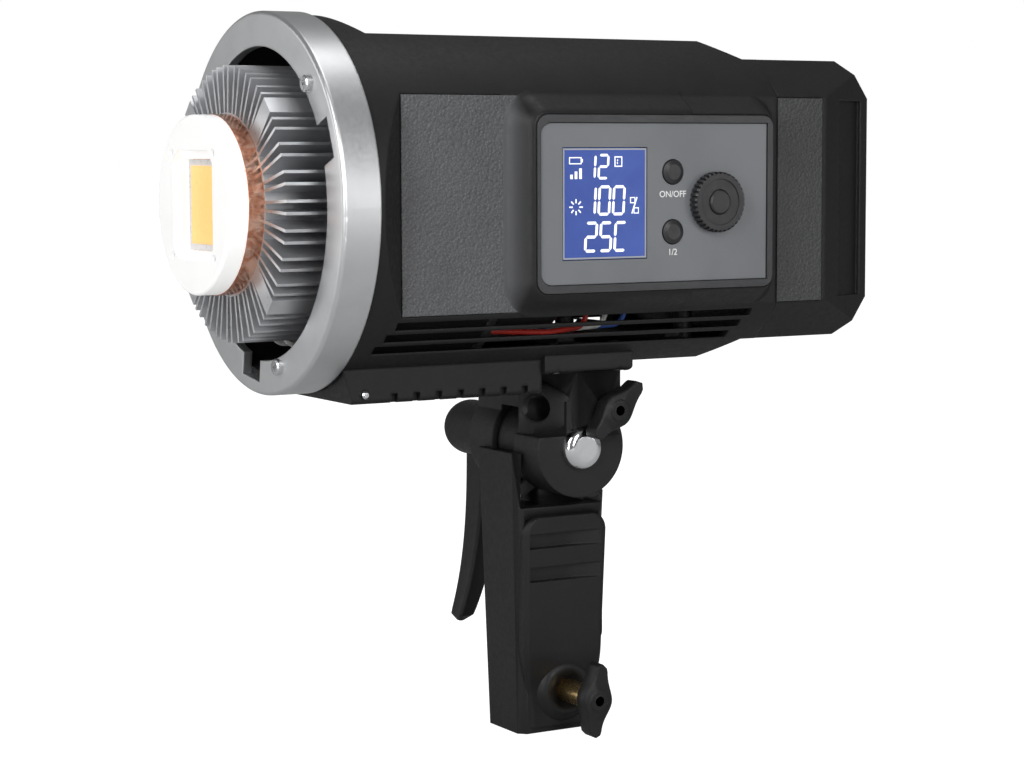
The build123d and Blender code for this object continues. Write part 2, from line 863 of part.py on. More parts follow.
def ring_screws():
    screws = []
    for angle in screw_angles:
        x, z = polar(ring_screw_r, angle)
        shank = round_slab(m3_shank_r, 0, ring_screw_length, x, z)
        head = round_slab(ring_screw_head_r, -ring_screw_head_h, 0, x, z)
        head = chamfer(head.edges().group_by(Axis.Y)[0], edge_break)
        cross = Pos(x, z) * (Rectangle(cross_l, cross_w) + Rectangle(cross_w, cross_l))
        screws.append(shank + head - slab(cross, -ring_screw_head_h - over, -ring_screw_head_h / 2))
    return group(screws)


def inner_sleeve():
    """Dark well behind the ring, from its flange back to the chassis plate."""
    outer_r = ring_inner_r - seat_gap
    skin = wall + seat_gap
    outer = housing_form(skin, 0, heatsink_end) & round_slab(outer_r, flange_t, heatsink_end)
    inner = housing_form(skin + sleeve_wall, -over, heatsink_end + over)
    inner &= round_slab(outer_r - sleeve_wall, flange_t - over, heatsink_end + over)
    sleeve = outer - inner
    for angle in screw_angles:
        x, z = polar(ring_screw_r, angle)
        sleeve += round_slab(screw_post_r, flange_t, ring_depth, x, z) & outer
    for angle in screw_angles:
        x, z = polar(ring_screw_r, angle)
        sleeve -= round_slab(m3_r - thread_bite, flange_t - over, ring_screw_length + over, x, z)
    return sleeve


# ---- Light engine ----
def heatsink():
    """Radial fins in close pairs round a hub, with a thick screw post at each corner."""
    profile = Circle(hub_r)
    reach = fin_r - core_bore_r
    for quadrant in range(4):
        for pair in range(fin_pairs):
            middle = 90 * quadrant + (pair - (fin_pairs - 1) / 2) * pair_pitch
            for side in (-1, 1):
                angle = middle + side * fin_split / 2
                profile += Rot(0, 0, angle) * Pos(fin_r - reach / 2, 0) * Rectangle(reach, fin_t)
    for angle in post_angles:
        profile += Rot(0, 0, angle) * Pos(fin_r - reach / 2, 0) * Rectangle(reach, post_t)
    profile -= Circle(core_bore_r)
    body = slab(profile, heatsink_start, heatsink_end)
    for angle in post_angles:
        x, z = polar(post_screw_r, angle)
        body -= round_slab(m3_r - thread_bite, heatsink_end - post_screw_l - over, heatsink_end + over, x, z)
    for side in (-1, 1):
        body -= wire_entry(side)
    return body


def wire_entry(side):
    """Hole in the hub where one supply wire of the light passes in."""
    angle = 270 + side * pair_pitch / 2
    x, z = polar(core_bore_r - over, angle)
    x_end, z_end = polar(hub_r + over, angle)
    hub_plane = Plane(
        origin=(x, front_y + wire_depth, light_z + z),
        x_dir=(0, 1, 0),
        z_dir=(x_end - x, 0, z_end - z),
    )
    return extrude(hub_plane * Circle(wire_r + seat_gap), amount=hub_wall + 2 * over)


def copper_core():
    flange = round_slab(copper_r, copper_front, heatsink_start)
    boss = round_slab(core_bore_r - seat_gap, heatsink_start, heatsink_start + copper_boss_h)
    return flange + boss


def led_holder():
    """White disc that clamps the light source to the copper core."""
    disc = round_slab(holder_r, holder_front, copper_front)
    disc = fillet(disc.edges().group_by(Axis.Y)[0], holder_edge)
    opening = Rectangle(2 * window_x, 2 * window_z)
    opening = chamfer(opening.vertices(), window_corner)
    disc -= slab(opening, holder_front - over, holder_front + window_h)
    board = Rectangle(2 * (led_board_half + seat_gap), 2 * (led_board_half + seat_gap))
    disc -= slab(board, holder_front + window_h - over, copper_front + over)
    for height in holder_slit_heights:
        disc -= depth_box(
            holder_r - holder_slit_l,
            holder_r + over,
            holder_front + window_h,
            copper_front + over,
            height - holder_slit_w / 2,
            height + holder_slit_w / 2,
        )
    for angle in post_angles:
        x, z = polar(holder_screw_ring_r, angle)
        disc -= round_slab(holder_screw_r + seat_gap, holder_front - over, copper_front + over, x, z)
    return disc


def led_screws():
    screws = []
    for angle in post_angles:
        x, z = polar(holder_screw_ring_r, angle)
        screws.append(round_slab(holder_screw_r, holder_front + holder_screw_drop, copper_front, x, z))
    return group(screws)


def led_board():
    size = 2 * led_board_half
    return slab(Rectangle(size, size), copper_front - led_board_t, copper_front)


def led_phosphor():
    start = copper_front - led_board_t - phosphor_t
    return slab(Rectangle(phosphor_w, phosphor_h), start, copper_front - led_board_t)


def wire_path(side):
    """One supply wire from the chassis plate forward under the fins and up into the hub."""
    angle = 270 + side * pair_pitch / 2
    outer_r = fin_r + wire_off_fins
    x_out, z_out = polar(outer_r, angle)
    x_in, z_in = polar(core_bore_r + hub_wall / 2, angle)
    points = [
        (x_out, front_y + heatsink_end, light_z + z_out),
        (x_out, front_y + wire_depth, light_z + z_out),
        (x_in, front_y + wire_depth, light_z + z_in),
    ]
    return FilletPolyline(*points, radius=wire_bend)


def led_wires():
    wires = []
    for side in (-1, 1):
        path = wire_path(side)
        wires.append(sweep(Plane(origin=path @ 0, z_dir=path % 0) * Circle(wire_r), path=path))
    return group(wires)


def chassis_plate():
    """Plate across the housing that carries the heatsink in front and the fan behind."""
    plate = housing_form(wall + seat_gap, heatsink_end, fan_start)
    plate -= round_slab(chassis_hole_r, heatsink_end - over, fan_start + over)
    for angle in post_angles:
        x, z = polar(post_screw_r, angle)
        plate -= round_slab(m3_r + seat_gap, heatsink_end - over, fan_start + over, x, z)
        head_seat = fan_start - m3_head_h - seat_gap
        plate -= round_slab(m3_head_r + seat_gap, head_seat, fan_start + over, x, z)
    for x in (-fan_pitch, fan_pitch):
        for z in (-fan_pitch, fan_pitch):
            plate -= round_slab(m3_r - thread_bite, heatsink_end - over, fan_start + over, x, z)
    return plate


def heatsink_screws():
    screws = []
    seat = fan_start - m3_head_h - seat_gap
    for angle in post_angles:
        x, z = polar(post_screw_r, angle)
        shank = round_slab(m3_shank_r, heatsink_end - post_screw_l, seat, x, z)
        screws.append(shank + round_slab(m3_head_r, seat, seat + m3_head_h, x, z))
    return group(screws)


# ---- Fan ----
def fan_frame():
    outline = RectangleRounded(2 * fan_half, 2 * fan_half, fan_corner)
    frame = slab(outline, fan_start, fan_end) - round_slab(fan_opening_r, fan_start - over, fan_end + over)
    strut_start = fan_end - fan_strut_t
    frame += round_slab(fan_motor_r, strut_start, fan_end)
    for angle in fan_strut_angles:
        strut = Pos((fan_opening_r + over) / 2, 0) * Rectangle(fan_opening_r + over, fan_strut_w)
        frame += slab(Rot(0, 0, angle) * strut, strut_start, fan_end)
    frame -= round_slab(fan_shaft_r + run_gap, strut_start - over, fan_end - fan_bearing_wall)
    for x in (-fan_pitch, fan_pitch):
        for z in (-fan_pitch, fan_pitch):
            frame -= round_slab(fan_hole_r, fan_start - over, fan_end + over, x, z)
    return frame


def fan_rotor():
    start = fan_start + fan_inset
    end = fan_end - fan_strut_t - move_gap
    hub = round_slab(fan_hub_r, start, end)
    blade_r = fan_opening_r - fan_tip_gap
    root_r = fan_hub_r - fan_blade_t
    middle = (start + end) / 2
    for i in range(fan_blades):
        blade = Rot(fan_blade_pitch, 0, 0) * Box(blade_r - root_r, fan_blade_t, fan_blade_chord)
        turn = Rot(0, 0, 360 * i / fan_blades) * Pos((root_r + blade_r) / 2, 0, 0)
        placed = head_plane(middle).location * turn * blade
        hub += placed & round_slab(blade_r, start, end)
    return hub + round_slab(fan_shaft_r, end, fan_end - fan_bearing_wall - move_gap)


def fan_screws():
    screws = []
    for x in (-fan_pitch, fan_pitch):
        for z in (-fan_pitch, fan_pitch):
            shank = round_slab(m3_shank_r, fan_start - fan_screw_reach, fan_end, x, z)
            head = round_slab(fan_screw_head_r, fan_end, fan_end + fan_screw_head_h, x, z)
            screws.append(shank + head)
    return group(screws)


# ---- Electronics ----
def driver_board():
    board = depth_box(
        -driver_half_w, driver_half_w, driver_start, driver_end, driver_z - board_t, driver_z
    )
    return board - board_posts(m3_r + seat_gap, driver_z - board_t - over, driver_z + over)


def driver_screws():
    shanks = board_posts(m3_shank_r, driver_z - board_t - driver_screw_l, driver_z)
    heads = board_posts(m3_head_r, driver_z, driver_z + m3_head_h)
    return group([shank + head for shank, head in zip(shanks, heads)])


def driver_parts():
    """Coils, capacitors, a cooling bar and a connector that stand on the driver board."""
    parts_on_board = []
    board_front_y = front_y + driver_start
    can = upright(capacitor_r, driver_z, driver_z + capacitor_h)
    for place in capacitor_places:
        parts_on_board.append(Pos(capacitor_x, board_front_y + place, light_z) * can)
    coil = upright(coil_r, driver_z, driver_z + coil_h)
    coil -= upright(coil_hole_r, driver_z - over, driver_z + coil_h + over)
    for x in coil_xs:
        parts_on_board.append(Pos(x, board_front_y + coil_place, light_z) * coil)
    bar_rise = light_z + driver_z + cooling_bar[2] / 2
    parts_on_board.append(Pos(0, board_front_y + cooling_bar_place, bar_rise) * Box(*cooling_bar))
    block_rise = light_z + driver_z + connector_size[2] / 2
    block = Pos(connector_x, board_front_y + connector_place, block_rise) * Box(*connector_size)
    return group(parts_on_board + [block])


def battery_socket():
    """Contact block that closes the window in the rear wall."""
    half_w = contact_half_w - seat_gap
    half_h = contact_half_h - seat_gap
    inner_face = housing_end - rear_wall
    lip_w = contact_half_w + contact_lip
    lip_h = contact_half_h + contact_lip
    block = depth_box(-half_w, half_w, inner_face, housing_end, -half_h, half_h)
    block += depth_box(-lip_w, lip_w, inner_face - contact_lip_t, inner_face, -lip_h, lip_h)
    slot_from = inner_face - contact_lip_t - over
    return block - contact_slots(contact_slot_w, contact_slot_h, slot_from, housing_end + over)


def contact_slots(width, half_h, start, end):
    """A box at each battery contact, to cut with or to keep."""
    return [depth_box(x - width / 2, x + width / 2, start, end, -half_h, half_h) for x in contact_xs]


def loom_wire(lane):
    """One wire from under the driver board, forward below the fan to the chassis plate."""
    x = loom_x - lane * loom_pitch
    depth = driver_start + loom_from_board + lane * loom_stagger
    under_board = light_z + driver_z - board_t
    low = light_z + loom_z
    points = [
        (x, front_y + depth, under_board),
        (x, front_y + depth, low),
        (x + loom_sway, front_y + fan_end, low - loom_sag),
        (x, front_y + fan_start + run_gap, low),
    ]
    path = FilletPolyline(*points, radius=wire_bend)
    return sweep(Plane(origin=path @ 0, z_dir=path % 0) * Circle(wire_r), path=path)


# ---- Base rail ----
def base_rail():
    """Ribbed foot under the housing, up to the tilt saddle."""
    end = saddle_front - front_y - seat_gap
    top = -neck_z
    block = depth_box(-rail_half_w, rail_half_w, rail_start, end, -rail_bottom, top)
    nose = block.edges().filter_by(Axis.X).group_by(Axis.Y)[0].sort_by(Axis.Z)[:1]
    block = chamfer(nose, rail_nose, rail_nose_h)
    long_edges = block.edges().filter_by(Axis.Y).group_by(Axis.Z)[0]
    block = chamfer(long_edges, rail_edge)
    block -= housing_form(0, ring_depth, housing_end)
    for sign in (-1, 1):
        for i in range(rail_notches):
            depth = rail_start + rail_first_notch + i * rail_notch_pitch
            if depth < end - rail_notch_pitch / 2:
                outer = sorted((sign * (rail_half_w - rail_notch_deep), sign * (rail_half_w + over)))
                block -= depth_box(
                    outer[0],
                    outer[1],
                    depth - rail_notch_w / 2,
                    depth + rail_notch_w / 2,
                    -rail_bottom - over,
                    -rail_bottom + rail_notch_h,
                )
    pin_hole = Circle(lock_pin_r + run_gap)
    pin_end = rail_half_w - lock_pin_in - lock_pin_room
    return block - panel_prism(pin_hole, pin_end, rail_half_w + over, lock_pin_depth, lock_pin_z)


def lock_pin():
    """Chromed release pin of the accessory bayonet, in the front of the rail."""
    start = rail_half_w - lock_pin_in
    tip = rail_half_w + lock_pin_out
    pin = panel_prism(Circle(lock_pin_r), start, tip, lock_pin_depth, lock_pin_z)
    return chamfer(pin.edges().group_by(Axis.X)[-1], edge_break)


# ---- Battery ----
def battery_form(inset, start, end):
    """Eight-sided pack with sloping sides, top and bottom at the rear."""
    x = side_x - inset
    z = neck_z - inset
    draw = corner_draw * inset
    corner_x = battery_corner_x - draw
    corner_z = battery_half_h - draw
    outline = [(x, corner_z), (corner_x, z), (-corner_x, z), (-x, corner_z)]
    outline += [(-px, -pz) for px, pz in outline]
    prism = slab(make_face(Polyline(*outline, close=True)), start, end)
    plan_points = [
        (start - over, x),
        (battery_side_end - draw, x),
        (battery_end - inset, battery_rear_x - draw),
    ]
    side_points = [
        (start - over, z),
        (battery_top_end - draw, z),
        (battery_end - inset, corner_z),
    ]
    floor = Plane(origin=(0, front_y, light_z - 2 * body_r), x_dir=(0, 1, 0), z_dir=(0, 0, -1))
    plan = extrude(floor * mirrored_outline(plan_points), amount=-4 * body_r)
    left = side_plane(-2 * body_r, front_y, light_z)
    side = extrude(left * mirrored_outline(side_points), amount=4 * body_r)
    return prism & plan & side


def slope_x(depth):
    """Half width of the pack where its sides slope in."""
    share = (depth - battery_side_end) / (battery_end - battery_side_end)
    return side_x - battery_taper * share


def finger_recess(sign):
    """Shallow grip cut into the sloping side of the pack."""
    x_start = slope_x(grip_recess_start)
    x_low = slope_x(grip_recess_start + grip_recess_run) - grip_recess_depth
    x_end = slope_x(grip_recess_end) - grip_recess_depth
    points = [
        (sign * (x_start + seat_gap), front_y + grip_recess_start),
        (sign * x_low, front_y + grip_recess_start + grip_recess_run),
        (sign * x_end, front_y + grip_recess_end),
        (sign * side_x, front_y + grip_recess_end),
        (sign * side_x, front_y + grip_recess_start),
    ]
    face = make_face(Polyline(*points, close=True))
    height = 2 * (battery_half_h - over)
    return Pos(0, 0, light_z - height / 2) * extrude(face, amount=height, dir=(0, 0, 1))


def battery_case():
    outer = battery_form(0, battery_start, battery_end)
    inner = battery_form(battery_wall, battery_start + battery_wall, battery_end - battery_wall)
    case = outer - inner
    pad_room = pad_half_h + seat_gap
    for sign in (1, -1):
        case -= finger_recess(sign) & outer
        bounds = sorted((sign * (side_x - pad_t), sign * (side_x + over)))
        case -= depth_box(
            bounds[0], bounds[1], battery_start - over, battery_pad_depth + seat_gap, -pad_room, pad_room
        )
    slot_w = contact_slot_w + 2 * over
    case -= contact_slots(slot_w, contact_slot_h, battery_start - over, battery_start + battery_wall + over)
    case -= latch_block(move_gap, neck_z - battery_wall - over, neck_z + over)
    port = socket_r + socket_rim + seat_gap
    return case - round_slab(port, battery_end - battery_wall - over, battery_end + over, 0, -socket_drop)


def battery_pads():
    pads = []
    for sign in (1, -1):
        bounds = sorted((sign * (side_x - pad_t), sign * (side_x + pad_rise)))
        pads.append(
            depth_box(bounds[0], bounds[1], battery_start, battery_pad_depth, -pad_half_h, pad_half_h)
        )
    return group(pads)


def battery_cells():
    cells = []
    pitch = 2 * cell_r + cell_gap
    first = battery_start + battery_wall + cell_front_gap + cell_r
    for column in range(cell_columns):
        for row in range(cell_rows):
            height = (row - (cell_rows - 1) / 2) * pitch
            depth = first + column * pitch
            cells.append(panel_prism(Circle(cell_r), -cell_length / 2, cell_length / 2, depth, height))
    return group(cells)


def cell_tray():
    """Frame that holds the cells off the case walls at both ends."""
    sides = []
    start = battery_start + battery_wall
    end = start + cell_front_gap + cell_columns * (2 * cell_r + cell_gap)
    half_h = cell_rows * (cell_r + cell_gap / 2)
    for sign in (1, -1):
        bounds = sorted((sign * (cell_length / 2), sign * (cell_length / 2 + tray_t)))
        sides.append(depth_box(bounds[0], bounds[1], start, end, -half_h, half_h))
    return group(sides)


def contact_blades():
    """Four blades that bridge the contact block and the pack."""
    return group(contact_slots(blade_t, blade_h, housing_end - blade_in, battery_start + battery_wall))


def latch_block(grow, z_from, z_to):
    half = latch_half + grow
    return depth_box(-half, half, latch_depth - half, latch_depth + half, z_from, z_to)


def battery_release_button():
    """Push button in the top of the pack, kept in by its flange."""
    flange_top = neck_z - battery_wall - move_gap
    flange_low = flange_top - latch_flange_t
    flange = latch_block(latch_flange_w, flange_low, flange_top)
    return flange + latch_block(0, flange_low, neck_z + latch_rise)


def charge_socket():
    inner_end = battery_end - battery_wall
    socket = round_slab(socket_r + socket_rim, inner_end, battery_end, 0, -socket_drop)
    socket -= round_slab(socket_r, inner_end + socket_floor, battery_end + over, 0, -socket_drop)
    return socket + round_slab(socket_pin_r, inner_end, battery_end - socket_floor / 2, 0, -socket_drop)


# ---- Tilt yoke ----
def yoke_outline():
    """Neck seen from below: square at the rear, slanted at the front corners."""
    points = [
        (hole_face_x, yoke_front),
        (shoulder_x, hole_face_y),
        (shoulder_x, yoke_rear),
        (-cheek_out, yoke_rear),
        (-cheek_out, yoke_front),
    ]
    return make_face(Polyline(*points, close=True))


def tilt_yoke():
    """Saddle under the housing with two round cheeks astride the grip's tongue."""
    saddle_z = light_z - saddle_bottom
    block = extrude(Pos(0, 0, tilt_z + shoulder_z) * yoke_outline(), amount=saddle_z - tilt_z - shoulder_z)
    saddle = box_between(
        -saddle_half_w, saddle_half_w, saddle_front, saddle_rear, saddle_z, light_z - neck_z
    )
    saddle = fillet(saddle.edges().group_by(Axis.Z)[0], saddle_edge)
    saddle -= housing_form(0, ring_depth, housing_end)
    yoke = block + saddle
    for sign in (1, -1):
        bounds = sorted((sign * cheek_in, sign * cheek_out))
        disc = x_rod(cheek_r, bounds[0], bounds[1], 0, tilt_z)
        arm = box_between(bounds[0], bounds[1], yoke_front, yoke_rear, tilt_z, tilt_z + shoulder_z + over)
        yoke += disc + arm
    yoke -= x_rod(tongue_r + tongue_room, -cheek_in, cheek_in, 0, tilt_z)
    yoke -= box_between(
        -cheek_in, cheek_in, -2 * cheek_r, 2 * cheek_r, tilt_z - cheek_r, tilt_z + slot_roof
    )
    yoke -= x_rod(bolt_r + seat_gap, -cheek_out - over, cheek_out + over, 0, tilt_z)
    yoke -= x_rod(bolt_head_r + move_gap, cheek_out, shoulder_x + over, 0, tilt_z)
    hole_z = tilt_z + umbrella_z
    hole_plane = Plane(origin=(umbrella_x, cheek_r, hole_z), x_dir=(1, 0, 0), z_dir=(0, -1, 0))
    yoke -= extrude(hole_plane * Circle(umbrella_r), amount=2 * cheek_r)
    yoke -= x_rod(umbrella_screw_r + run_gap, umbrella_x, shoulder_x + over, umbrella_knob_y, hole_z)
    head_top = -saddle_bottom + yoke_screw_head_h
    yoke -= yoke_screw_rods(yoke_screw_head_r + seat_gap, -saddle_bottom - over, head_top)
    return yoke - yoke_screw_rods(yoke_screw_r + seat_gap, -saddle_bottom - over, yoke_screw_top)


def yoke_screw_rods(radius, z_from, z_to):
    """Upright rods at the four saddle screws, with heights off the light axis."""
    rods = []
    for x in (-yoke_screw_x, yoke_screw_x):
        for y in (saddle_front + yoke_screw_end, saddle_rear - yoke_screw_end):
            rods.append(Pos(x, y, light_z) * upright(radius, z_from, z_to))
    return rods


def yoke_screws():
    head_top = -saddle_bottom + yoke_screw_head_h
    heads = yoke_screw_rods(yoke_screw_head_r, -saddle_bottom + seat_gap, head_top)
    shanks = yoke_screw_rods(yoke_screw_r, head_top, yoke_screw_top)
    return group([head + shank for head, shank in zip(heads, shanks)])


def tilt_bolt():
    """Domed coach bolt that pins the yoke to the grip's tongue."""
    shank = x_rod(bolt_r, -hub_end + bolt_short, cheek_out, 0, tilt_z)
    head = x_rod(bolt_head_r, cheek_out, cheek_out + bolt_head_h, 0, tilt_z)
    head = fillet(head.edges().group_by(Axis.X)[-1], bolt_head_h - bolt_rim)
    return shank + head


def friction_washers():
    washers = []
    for sign in (1, -1):
        bounds = sorted((sign * tongue_half, sign * (tongue_half + washer_t)))
        washer = x_rod(washer_r, bounds[0], bounds[1], 0, tilt_z)
        washers.append(washer - x_rod(bolt_r + seat_gap, -cheek_in, cheek_in, 0, tilt_z))
    return group(washers)


# ---- Grip ----
def grip_section(half_w, front, rear):
    face = Pos(0, (front + rear) / 2) * Rectangle(2 * half_w, rear - front)
    return chamfer(face.vertices(), grip_bevel)


def grip_taper(z, bottom, top):
    return bottom + (top - bottom) * z / front_wall_z


def grip_body():
    """Tapered column with the stand socket below and the tilt tongue above."""
    bottom = grip_section(grip_half_bottom, grip_front_bottom, grip_rear_bottom)
    top = Pos(0, 0, front_wall_z) * grip_section(grip_half_top, grip_front_top, grip_rear_top)
    body = loft([bottom, top], ruled=True)
    reach = 2 * grip_half_top
    front = grip_front_top + grip_wall
    rear = grip_rear_top - grip_wall
    body -= box_between(-reach, reach, front, rear, grip_floor_z, front_wall_z + over)
    body -= box_between(-reach, reach, rear - over, reach, rear_wall_z, front_wall_z + over)
    body += x_rod(tongue_r, -tongue_half, tongue_half, 0, tilt_z)
    body += box_between(-tongue_half, tongue_half, stalk_front, stalk_rear, grip_floor_z - over, tilt_z)
    body -= x_rod(bolt_r + run_gap, -reach, reach, 0, tilt_z)
    body += lock_boss()
    body -= extrude(Circle(liner_r + seat_gap), amount=socket_bore_h + liner_lip)
    body -= x_rod(lock_screw_r + run_gap, 0, reach, 0, lock_z)
    body -= x_rod(lock_screw_r + counterbore_w, lock_boss_x - counterbore_h, reach, 0, lock_z)
    body += grip_panel()
    for z in groove_zs:
        body -= grip_groove(z)
    return body


def lock_boss():
    """Round boss for the stand lock screw, cut off at the grip's edges."""
    foot = side_plane(grip_half_bottom - over, 0, lock_z) * Circle(lock_boss_r)
    boss = extrude(foot, amount=lock_boss_h + over, taper=lock_boss_taper)
    front = grip_front_bottom + lock_boss_front
    rear = grip_rear_bottom - lock_boss_rear
    return boss & box_between(0, 2 * grip_half_top, front, rear, 0, 2 * lock_z + lock_boss_r)


def grip_panel():
    """Raised pad on the near face with rounded upper corners."""
    y_front = grip_front_bottom + panel_front
    y_rear = grip_rear_top - panel_rear
    top = grip_floor_z - panel_top
    half_here = grip_taper(panel_low, grip_half_bottom, grip_half_top)
    outline = RectangleRounded(y_rear - y_front, top - panel_low, panel_corner)
    placed = Pos((y_front + y_rear) / 2, (top + panel_low) / 2) * outline
    return side_prism(placed, half_here - over, grip_half_top + panel_t)


def grip_groove(z):
    """Recess that is deep at the front and runs out at the rear."""
    x_face = grip_half_top + panel_t
    points = [
        (x_face + over, groove_front),
        (x_face - groove_depth, groove_front),
        (x_face - groove_depth, groove_front + groove_flat * (groove_rear - groove_front)),
        (x_face - groove_run_out, groove_rear),
        (x_face + over, groove_rear),
    ]
    face = make_face(Polyline(*points, close=True))
    return Pos(0, 0, z - groove_half_h) * extrude(face, amount=2 * groove_half_h, dir=(0, 0, 1))


def socket_liner():
    """Steel tube pressed into the grip that slides over the stand's spigot."""
    tube = extrude(Circle(liner_r), amount=socket_bore_h + liner_lip)
    tube -= extrude(Circle(socket_bore_r), amount=socket_bore_h)
    return tube - x_rod(lock_screw_r + seat_gap, 0, 2 * liner_r, 0, lock_z)


# ---- Screws with wing knobs ----
def wing_knob(face_x, y, z, tilt):
    """Two slender wings swept round a hub, with raised rings on the outer face."""
    reach = wing_reach - wing_tip_r
    wing = Circle(knob_hub_r)
    for sign in (1, -1):
        tip = Pos(sign * wing_sweep, sign * reach) * Circle(wing_tip_r)
        wing = make_hull((wing + tip).edges())
    knob = side_prism(Rot(0, 0, tilt) * wing, face_x - knob_t, face_x, y, z)
    knob = fillet(knob.edges().group_by(Axis.X)[-1], knob_edge)
    for radius in knob_rings:
        ring = Circle(radius) - Circle(radius - knob_ring_w)
        knob += side_prism(ring, face_x - seat_gap, face_x + knob_ring_h, y, z)
    return knob


def umbrella_knob():
    hole_z = tilt_z + umbrella_z
    knob = wing_knob(knob_face_x, umbrella_knob_y, hole_z, umbrella_knob_turn)
    stem_end = knob_face_x - knob_t + run_gap
    return knob + x_rod(umbrella_stem_r, shoulder_x + move_gap, stem_end, umbrella_knob_y, hole_z)


def umbrella_screw():
    hole_z = tilt_z + umbrella_z
    tip = umbrella_x + umbrella_r + umbrella_room
    return x_rod(umbrella_screw_r, tip, shoulder_x + move_gap, umbrella_knob_y, hole_z)


def stand_knob():
    return wing_knob(knob_face_x, 0, lock_z, stand_knob_turn)


def stand_screw():
    return x_rod(lock_screw_r, socket_bore_r + lock_screw_off, knob_face_x - knob_t, 0, lock_z)


# ---- Tilt lever ----
def tilt_lever():
    """Hub on the bolt's end with a swept lever hanging beside the grip."""
    hub = x_rod(hub_radius, -hub_end, -hub_start, 0, tilt_z)
    hub += Pos(-hub_end, 0, tilt_z) * Sphere(hub_radius)
    sides = Spline(*lever_front) + Spline(*lever_rear)
    ends = Line(lever_front[-1], lever_rear[0]) + Line(lever_rear[-1], lever_front[0])
    arm = side_prism(make_face(sides + ends), -lever_x - lever_t / 2, -lever_x + lever_t / 2, 0, tilt_z)
    return hub + arm - x_rod(insert_r, -hub_end + insert_cap, -hub_start + over, 0, tilt_z)


def lever_insert():
    """Threaded brass bush in the lever that runs on the bolt's end."""
    bush = x_rod(insert_r - run_gap, -hub_end + insert_cap, -hub_start, 0, tilt_z)
    return bush - x_rod(bolt_r + run_gap, -hub_end + over, -hub_start + over, 0, tilt_z)


nodes = {
    "housing_panel_side": housing_panel_side(),
    "housing_far_side": housing_far_side(),
    "housing_screws": housing_screws(),
    "side_pad_near": side_pad(1),
    "side_pad_far": side_pad(-1),
    "control_bezel": control_bezel(),
    "control_plate": control_plate(),
    "control_board": control_board(),
    "board_screws": board_screws(),
    "lcd_module": lcd_module(),
    "power_button": push_button(button_heights[0]),
    "group_button": push_button(button_heights[1]),
    "dial_wheel": dial_wheel(),
    "set_button": set_button(),
    "mount_ring": mount_ring(),
    "ring_screws": ring_screws(),
    "inner_sleeve": inner_sleeve(),
    "heatsink": heatsink(),
    "copper_core": copper_core(),
    "led_holder": led_holder(),
    "led_screws": led_screws(),
    "led_board": led_board(),
    "led_phosphor": led_phosphor(),
    "led_wires": led_wires(),
    "chassis_plate": chassis_plate(),
    "heatsink_screws": heatsink_screws(),
    "fan_frame": fan_frame(),
    "fan_rotor": fan_rotor(),
    "fan_screws": fan_screws(),
    "driver_board": driver_board(),
    "driver_screws": driver_screws(),
    "driver_parts": driver_parts(),
    "battery_socket": battery_socket(),
    "loom_wire_red": loom_wire(0),
    "loom_wire_white": loom_wire(1),
    "loom_wire_blue": loom_wire(2),
    "base_rail": base_rail(),
    "lock_pin": lock_pin(),
    "battery_case": battery_case(),
    "battery_pads": battery_pads(),
    "battery_cells": battery_cells(),
    "cell_tray": cell_tray(),
    "contact_blades": contact_blades(),
    "battery_release_button": battery_release_button(),
    "charge_socket": charge_socket(),
    "tilt_yoke": tilt_yoke(),
    "yoke_screws": yoke_screws(),
    "tilt_bolt": tilt_bolt(),
    "friction_washers": friction_washers(),
    "grip_body": grip_body(),
    "socket_liner": socket_liner(),
    "umbrella_knob": umbrella_knob(),
    "umbrella_screw": umbrella_screw(),
    "stand_knob": stand_knob(),
    "stand_screw": stand_screw(),
    "tilt_lever": tilt_lever(),
    "lever_insert": lever_insert(),
}

os.makedirs("parts", exist_ok=True)
for name, shape in nodes.items():
    export_step(shape, f"parts/{name}.step")
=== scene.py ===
import json
import math

import bmesh
import bpy
from mathutils import Matrix, Vector

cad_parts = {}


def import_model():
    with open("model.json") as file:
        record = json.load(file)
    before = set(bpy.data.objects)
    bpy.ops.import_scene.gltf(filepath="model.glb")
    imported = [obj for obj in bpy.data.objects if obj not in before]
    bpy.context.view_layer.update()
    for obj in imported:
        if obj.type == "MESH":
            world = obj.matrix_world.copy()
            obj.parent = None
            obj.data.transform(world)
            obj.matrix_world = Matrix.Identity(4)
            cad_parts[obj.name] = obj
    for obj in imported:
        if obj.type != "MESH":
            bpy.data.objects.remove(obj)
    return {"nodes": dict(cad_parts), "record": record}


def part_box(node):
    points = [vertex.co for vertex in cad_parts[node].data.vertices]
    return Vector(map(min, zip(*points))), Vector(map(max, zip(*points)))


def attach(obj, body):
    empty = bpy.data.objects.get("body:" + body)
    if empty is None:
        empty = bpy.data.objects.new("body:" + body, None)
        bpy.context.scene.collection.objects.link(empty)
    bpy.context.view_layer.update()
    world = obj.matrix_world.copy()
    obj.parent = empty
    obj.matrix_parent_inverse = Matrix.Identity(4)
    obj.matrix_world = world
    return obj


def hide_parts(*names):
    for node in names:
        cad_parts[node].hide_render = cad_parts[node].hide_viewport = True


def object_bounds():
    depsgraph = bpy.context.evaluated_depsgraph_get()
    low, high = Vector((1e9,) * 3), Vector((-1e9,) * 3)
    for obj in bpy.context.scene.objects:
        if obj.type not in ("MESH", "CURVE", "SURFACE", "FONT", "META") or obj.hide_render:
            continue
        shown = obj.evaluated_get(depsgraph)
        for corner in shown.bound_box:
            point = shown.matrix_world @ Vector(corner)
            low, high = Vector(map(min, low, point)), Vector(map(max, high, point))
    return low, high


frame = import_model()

cad_low, cad_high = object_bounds()
MM = 0.001
nodes = frame["nodes"]
scene = bpy.context.scene

